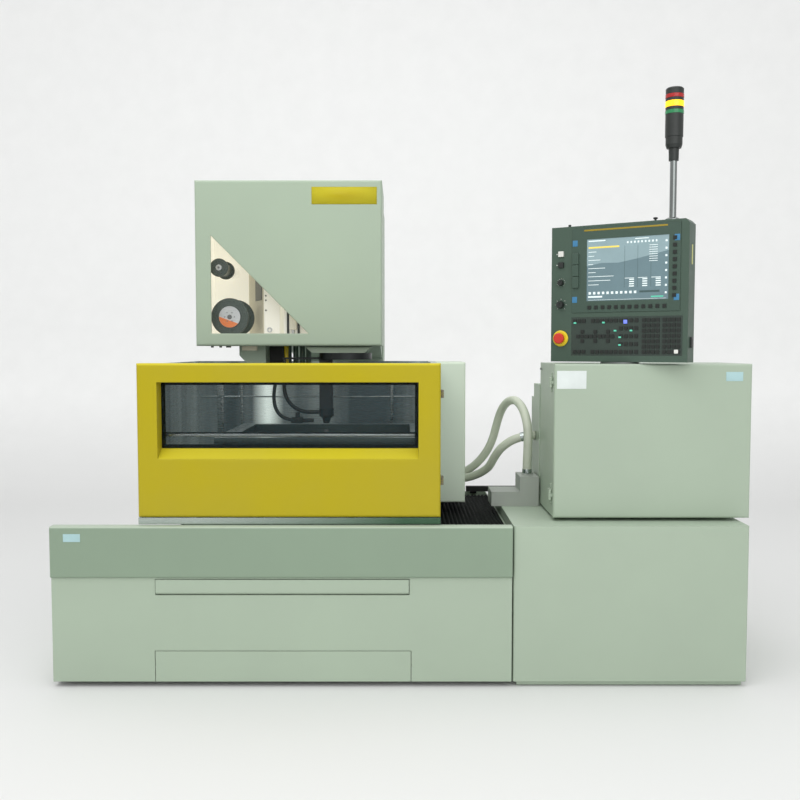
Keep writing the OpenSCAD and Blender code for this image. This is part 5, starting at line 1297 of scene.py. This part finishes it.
@dataclass(frozen=True)
class HeadInside:
    """What shows through the window of the wire feed head, and what hangs under it.

    Attributes:
        spool: Middle of the spool's front.
        roller: Middle of the guide roller's front.
        hub_r: Radius of the spool's hub plate.
        hub_plate: Thickness of the hub plate.
        mark_r: Radius of the orange mark on it.
        mark_from_deg: Angle at which the mark starts.
        mark_to_deg: Angle at which it ends.
        bolt_circle: Radius of the circle of hub bolts.
        bolt_count: Number of hub bolts.
        cap_r: Radius of the roller's cap.
        fold: Outline of the folded guide panel, seen from above.
        fold_height: Lower and upper end of that panel.
        slot: Outline of the slot in it, seen from above, filled black as painted shade.
        slot_height: Lower and upper end of the slot.
        thread_x: Place across the head of the dots on the threading unit.
        thread_zs: Heights of those dots.
        thread_front: Front of the threading unit.
        rail_xs: Left sides of the two black rails.
        bolt_places: Places of the bolt heads under the head.
        bolt_foot: Lower end of those bolt heads.
    """

    spool: Vec = (-0.685958, -0.590, 1.331)
    roller: Vec = (-0.726958, -0.590, 1.524)
    hub_r: float = 0.042
    hub_plate: float = 1.2 * MM
    mark_r: float = 0.0415
    mark_from_deg: float = 178.0
    mark_to_deg: float = 322.0
    bolt_circle: float = 0.019
    bolt_count: int = 6
    cap_r: float = 0.0115
    fold: tuple[tuple[float, float], ...] = (
        (-0.655, -0.312), (-0.560, -0.556), (-0.5565, -0.556), (-0.6515, -0.312))
    fold_height: tuple[float, float] = (1.2225, 1.64)
    slot: tuple[tuple[float, float], ...] = (
        (-0.6090, -0.4345), (-0.5665, -0.5455), (-0.5635, -0.5442), (-0.6060, -0.4332))
    slot_height: tuple[float, float] = (1.400, 1.486)
    thread_x: float = -0.5475
    thread_zs: tuple[float, ...] = (1.4155, 1.3976, 1.358)
    thread_front: float = -0.560
    rail_xs: tuple[float, float] = (-0.464, -0.422)
    bolt_places: tuple[tuple[float, float], ...] = (
        (-0.757, -0.582), (-0.724, -0.582), (-0.700, -0.570), (-0.688, -0.582))
    bolt_foot: float = 1.2105

    def build_spool_hub(self) -> None:
        """The spool's hub plate, with the orange mark and the bolts on it."""
        x, y, z = self.spool
        hub = Gathered("spool_hub").add(disc((x, y - self.hub_plate, z), self.hub_r, 1.4 * MM), 0)
        turn = np.radians(np.linspace(self.mark_from_deg, self.mark_to_deg, 26))
        outline = np.stack([x + self.mark_r * np.cos(turn), z + self.mark_r * np.sin(turn)], axis=1)
        hub.add(prism(outline, 1, y - 1.7 * MM, y - 1.1 * MM), 1)
        nut = ((0, 0), (0.006, 0.0), (0.009, 0.003), (0.009, 0.006), (0, 0.006))
        hub.add(lathe(nut, (x, y - 6 * MM, z), 1), 2)
        for angle in math.tau * np.arange(self.bolt_count) / self.bolt_count:
            across, up = self.bolt_circle * math.cos(angle), self.bolt_circle * math.sin(angle)
            hub.add(disc((x + across, y - 2.2 * MM, z + up), 0.0025, 1.2 * MM, 12), 2)
        hub.build("spool", [material(f) for f in (
            Finish.STEEL, Finish.ORANGE, Finish.DARK_STEEL)], "stainless")

    def build_roller_cap(self) -> None:
        """The guide roller's cap and its screw."""
        x, y, z = self.roller
        cap = Gathered("roller_cap").add(disc((x, y - 1.5 * MM, z), self.cap_r, 1.7 * MM), 0)
        cap.add(disc((x, y - 2.5 * MM, z), 0.005, 1.2 * MM, 6), 1)
        cap.build("roller", [material(Finish.STEEL), material(Finish.DARK_STEEL)], "stainless")

    def build_guide_panel(self) -> None:
        """The folded guide panel beside the spool and its slot, which a black block fills as
        painted shade.
        """
        panel = Gathered("guide_panel").add(prism(self.fold, 2, *self.fold_height))
        # The panel's paint is cream darkened as painted shade.
        panel.build("head", [material(Finish.SHADE)], "cream_paint")
        # A black block fills the slot as painted shade inside it.
        slot = Gathered("guide_slot").add(prism(self.slot, 2, *self.slot_height))
        slot.build("head", [material(Finish.BLACK)], "black_plastic")

    def build_thread_fittings(self) -> None:
        """Dots, rails, ring and pearl block on the threading unit."""
        small, front = Gathered("thread_fittings"), self.thread_front
        for z in self.thread_zs:
            small.add(disc((self.thread_x, front - 2.5 * MM, z), 0.0032, 3 * MM, 16), 0)
        pearl = rounded_box((-0.454, front - 0.018, 1.281), (-0.424, front + MM, 1.344), 0.004)
        small.add(pearl, 1)
        for x in self.rail_xs:
            rail = rounded_box((x, front - 0.012, 1.262), (x + 0.009, front + MM, 1.352), 0.002)
            small.add(rail, 0)
        ring = ((0.006, 0), (0.010, 0), (0.010, 0.006), (0.006, 0.006), (0.006, 0))
        small.add(lathe(ring, (-0.533, front - 0.006, 1.281), 1, 24), 2)
        small.add(upright((-0.439, front - 0.009, 1.236), 0.006, 0.046), 2)
        small.build("head", [material(f) for f in (
            Finish.BLACK, Finish.PEARL, Finish.STEEL)], "black_plastic")

    def build_underside(self) -> None:
        """Bolt heads and the yellow sleeve under the head."""
        bolts = Gathered("head_bolts")
        for x, y in self.bolt_places:
            bolts.add(upright((x, y, self.bolt_foot), 0.0055, 0.007), 0)
        bolts.build("head", [material(Finish.DARK_STEEL)], "dark_steel")
        sleeve = Gathered("yellow_sleeve").add(upright((-0.4845, -0.424, 1.118), 0.0090, 0.0995))
        sleeve.build("head", [material(Finish.YELLOW_PLASTIC)], "yellow_plastic")

    def build(self) -> None:
        """Makes every piece of the head."""
        self.build_spool_hub()
        self.build_roller_cap()
        self.build_guide_panel()
        self.build_thread_fittings()
        self.build_underside()


@dataclass(frozen=True)
class TankFittings:
    """Rails and posts in the tank, and the flushing nozzle under the head.

    Attributes:
        left: Left end of the ledge and of the rail.
        right: Right end of both.
        posts: Left side, width and foot of each post.
        post_top: Upper end of the posts.
        wall_gap: Front and back of the posts.
        hose_route: Points of the flushing hose, in millimetres.
        hose_r: Its radius.
        nozzle: Lowest and highest corner and edge radius of the nozzle's blocks.
    """

    left: float = -0.925
    right: float = 0.105
    posts: tuple[Vec, ...] = (
        (-0.847, 0.030, 0.640), (-0.742, 0.012, 0.640), (-0.060, 0.014, 0.845))
    post_top: float = 1.138
    wall_gap: tuple[float, float] = (-0.060, -0.0515)
    hose_route: tuple[Vec, ...] = (
        (-524, -392, 1119), (-530, -394, 1085), (-538, -397, 1045), (-541, -400, 1005),
        (-536, -404, 968), (-522, -409, 940), (-500, -415, 922), (-472, -421, 913),
        (-444, -427, 911))
    hose_r: float = 0.0075
    nozzle: tuple[tuple[Vec, Vec, float], ...] = (
        ((-0.466, -0.446, 0.899), (-0.416, -0.410, 0.924), 0.004),
        ((-0.420, -0.440, 0.903), (-0.372, -0.418, 0.918), 0.003),
        ((-0.448, -0.438, 0.922), (-0.430, -0.416, 0.944), 0.003))

    def build_ledge(self) -> None:
        """The front ledge and the rubber lip on it."""
        ledge = Gathered("tank_ledge")
        ledge.add(rounded_box((self.left, -0.884, 0.887), (self.right, -0.868, 0.8985), 0.003), 0)
        ledge.add(rounded_box((self.left, -0.884, 0.8990), (self.right, -0.870, 0.9035), 0.002), 1)
        ledge.build("tank", [material(Finish.STAINLESS), material(Finish.RUBBER)], "stainless")

    def build_posts(self) -> None:
        """The posts and the rail on the back wall."""
        posts, (front, back) = Gathered("tank_posts"), self.wall_gap
        for x, width, foot in self.posts:
            posts.add(rounded_box((x, front, foot), (x + width, back, self.post_top), 0.003))
        posts.add(rounded_box((self.left, back - 0.005, 0.985), (self.right, back, 0.992), 0.002))
        posts.build("tank", [material(Finish.STAINLESS)], "stainless")

    def build_nozzle(self) -> None:
        """The black flushing hose and its nozzle, which hang from the post."""
        path = smooth_path(millimetres(*self.hose_route), 0.005)
        hose = Gathered("flushing_hose").add(tube(path, self.hose_r, 20))
        for low, high, radius in self.nozzle:
            hose.add(rounded_box(low, high, radius))
        hose.build("head", [material(Finish.BLACK)], "black_plastic")

    def build(self) -> None:
        """Makes every fitting."""
        self.build_ledge()
        self.build_posts()
        self.build_nozzle()


@dataclass(frozen=True)
class CabinetScrews:
    """Two screw heads on the control cabinet's left side.

    Attributes:
        face_x: Left face of the heads.
        places: Their places along the cabinet.
        height: Their height from the floor.
        radius: Radius of a head.
        thickness: Thickness of a head.
    """

    face_x: float = 0.5384
    places: tuple[float, float] = (-0.606, -0.576)
    height: float = 1.127
    radius: float = 0.0045
    thickness: float = 0.0012

    def build(self) -> None:
        """Makes both screw heads."""
        heads = Gathered("cabinet_screws")
        profile = ((0, 0), (self.radius, 0), (self.radius, self.thickness), (0, self.thickness))
        for y in self.places:
            heads.add(lathe(profile, (self.face_x, y, self.height), 0, 20))
        heads.build("root", [material(Finish.BLACK)], "black_plastic")


# Stage

@dataclass(frozen=True)
class AreaLight:
    """A soft rectangular light that looks at a point.

    Attributes:
        name: Name of the light.
        place: Its place.
        aim: The point that it looks at.
        size: Its width and height.
        power: Its power in watts.
    """

    name: str
    place: Vec
    aim: Vec
    size: tuple[float, float]
    power: float

    def build(self) -> None:
        """Makes the light."""
        data = bpy.data.lights.new(self.name, "AREA")
        data.shape, data.size, data.size_y = "RECTANGLE", *self.size
        data.energy = self.power
        lamp = bpy.data.objects.new(self.name, data)
        lamp.location = self.place
        direction = Vector(self.aim) - Vector(self.place)
        lamp.rotation_euler = direction.to_track_quat("-Z", "Y").to_euler()
        bpy.context.scene.collection.objects.link(lamp)


LIGHTS = (
    AreaLight("key", (-1.6, -3.6, 4.6), (0.0, -0.6, 0.6), (3.4, 2.2), 60.0),
    AreaLight("front", (1.2, -5.6, 2.6), (0.0, -0.6, 0.6), (4.5, 2.6), 59.0),
    AreaLight("top", (0.0, -0.3, 4.9), (0.0, -0.3, 0.0), (4.5, 3.0), 42.0),
)


@dataclass(frozen=True)
class Studio:
    """The pale floor that curves up into a backdrop, and the world.

    Attributes:
        near: Place of the floor's front edge.
        far: Place where the floor starts to curve up.
        bend: Radius of the curve.
        side: Half the width of the floor.
        top: Upper edge of the backdrop.
        sink: How far the floor lies under the part.
        floor_grey: Grey of the floor.
        wall_greys: The two greys that mingle on the backdrop.
        wall_from: Height over which the floor's grey turns into the backdrop's.
        seen_light: Light added to the backdrop where the camera, metal or glass sees it.
        sky: Colour of the world.
        sky_strength: Strength of the world.
    """

    near: float = -9.0
    far: float = 2.6
    bend: float = 1.4
    side: float = 9.0
    top: float = 9.0
    sink: float = 0.2 * MM
    floor_grey: float = 0.79
    wall_greys: tuple[float, float] = (0.86, 0.89)
    wall_from: float = 0.8
    seen_light: float = 0.09
    sky: Colour = (0.97, 0.98, 0.97)
    sky_strength: float = 0.80

    def build_floor(self) -> None:
        """The floor, carried from side to side along a line with a quarter circle in it."""
        turn = np.linspace(0, math.pi / 2, 12)
        profile = [(self.near, 0.0)]
        profile += [(self.far + self.bend * math.sin(t), self.bend * (1 - math.cos(t)))
                    for t in turn]
        profile.append((self.far + self.bend, self.top))
        rows = np.array([[(x, y, z - self.sink) for x in (-self.side, self.side)]
                         for y, z in profile])
        faces = grid_faces(len(profile), 2)[:, ::-1].tolist()
        floor = Gathered("backdrop").add((rows.reshape(-1, 3), faces))
        floor.build("", [self.make_paint()])

    def make_paint(self) -> bpy.types.Material:
        """The floor's matt paint.

        Returns:
            The material.
        """
        tree = Tree("pale_floor")
        height = tree.span(tree.parts()[2], 0.0, 1.0, 0.0, self.wall_from)
        first, second = ((grey,) * 3 for grey in self.wall_greys)
        tone = tree.mix(tree.span(tree.noise(6, 6), 0, 1, 0.3, 0.7), first, second)
        tone = tree.mix(height, (self.floor_grey,) * 3, tone)
        rays = tree.add("ShaderNodeLightPath").outputs
        mirrored = tree.math("MAXIMUM", rays["Is Glossy Ray"], rays["Is Transmission Ray"])
        seen = tree.math("MAXIMUM", rays["Is Camera Ray"], mirrored)
        added = tree.math("MULTIPLY", height, self.seen_light)
        tree.glow((1.0, 1.0, 1.0), tree.math("MULTIPLY", seen, added))
        return tree.finish(tone, 0.8, tree.noise(60, 4), 0.15, MM)

    def build_world(self) -> None:
        """The even light from all round."""
        world = bpy.data.worlds.new("studio")
        world.use_nodes = True
        sky = next(n for n in world.node_tree.nodes if n.type == "BACKGROUND")
        sky.inputs["Color"].default_value = (*self.sky, 1.0)
        sky.inputs["Strength"].default_value = self.sky_strength
        bpy.context.scene.world = world
        bpy.context.scene.view_settings.view_transform = "Standard"

    def build(self) -> None:
        """Makes the floor, the lights and the world."""
        self.build_floor()
        for light in LIGHTS:
            light.build()
        self.build_world()


def build_camera() -> None:
    """Makes the camera that the photograph's fit gave."""
    data = bpy.data.cameras.new("camera")
    data.lens, data.sensor_width = CAMERA_LENS_MM, SENSOR_MM
    camera = bpy.data.objects.new("camera", data)
    camera.location = CAMERA_PLACE
    camera.rotation_euler = (math.radians(CAMERA_PITCH_DEG), 0.0, 0.0)
    bpy.context.scene.collection.objects.link(camera)
    bpy.context.scene.camera = camera


def main() -> None:
    """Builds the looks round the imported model."""
    logging.basicConfig(level=logging.INFO)
    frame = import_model()
    build_camera()
    Studio().build()
    dress_nodes(frame["nodes"])
    bellows = Bellows("left_bellows", 22, True), Bellows("right_bellows", 20, False)
    for piece in (*HOSES, *bellows, *PLATES, OperatorPanel(), HeadInside(), TankFittings(),
                  CabinetScrews()):
        piece.build()


if __name__ == "__main__":
    main()
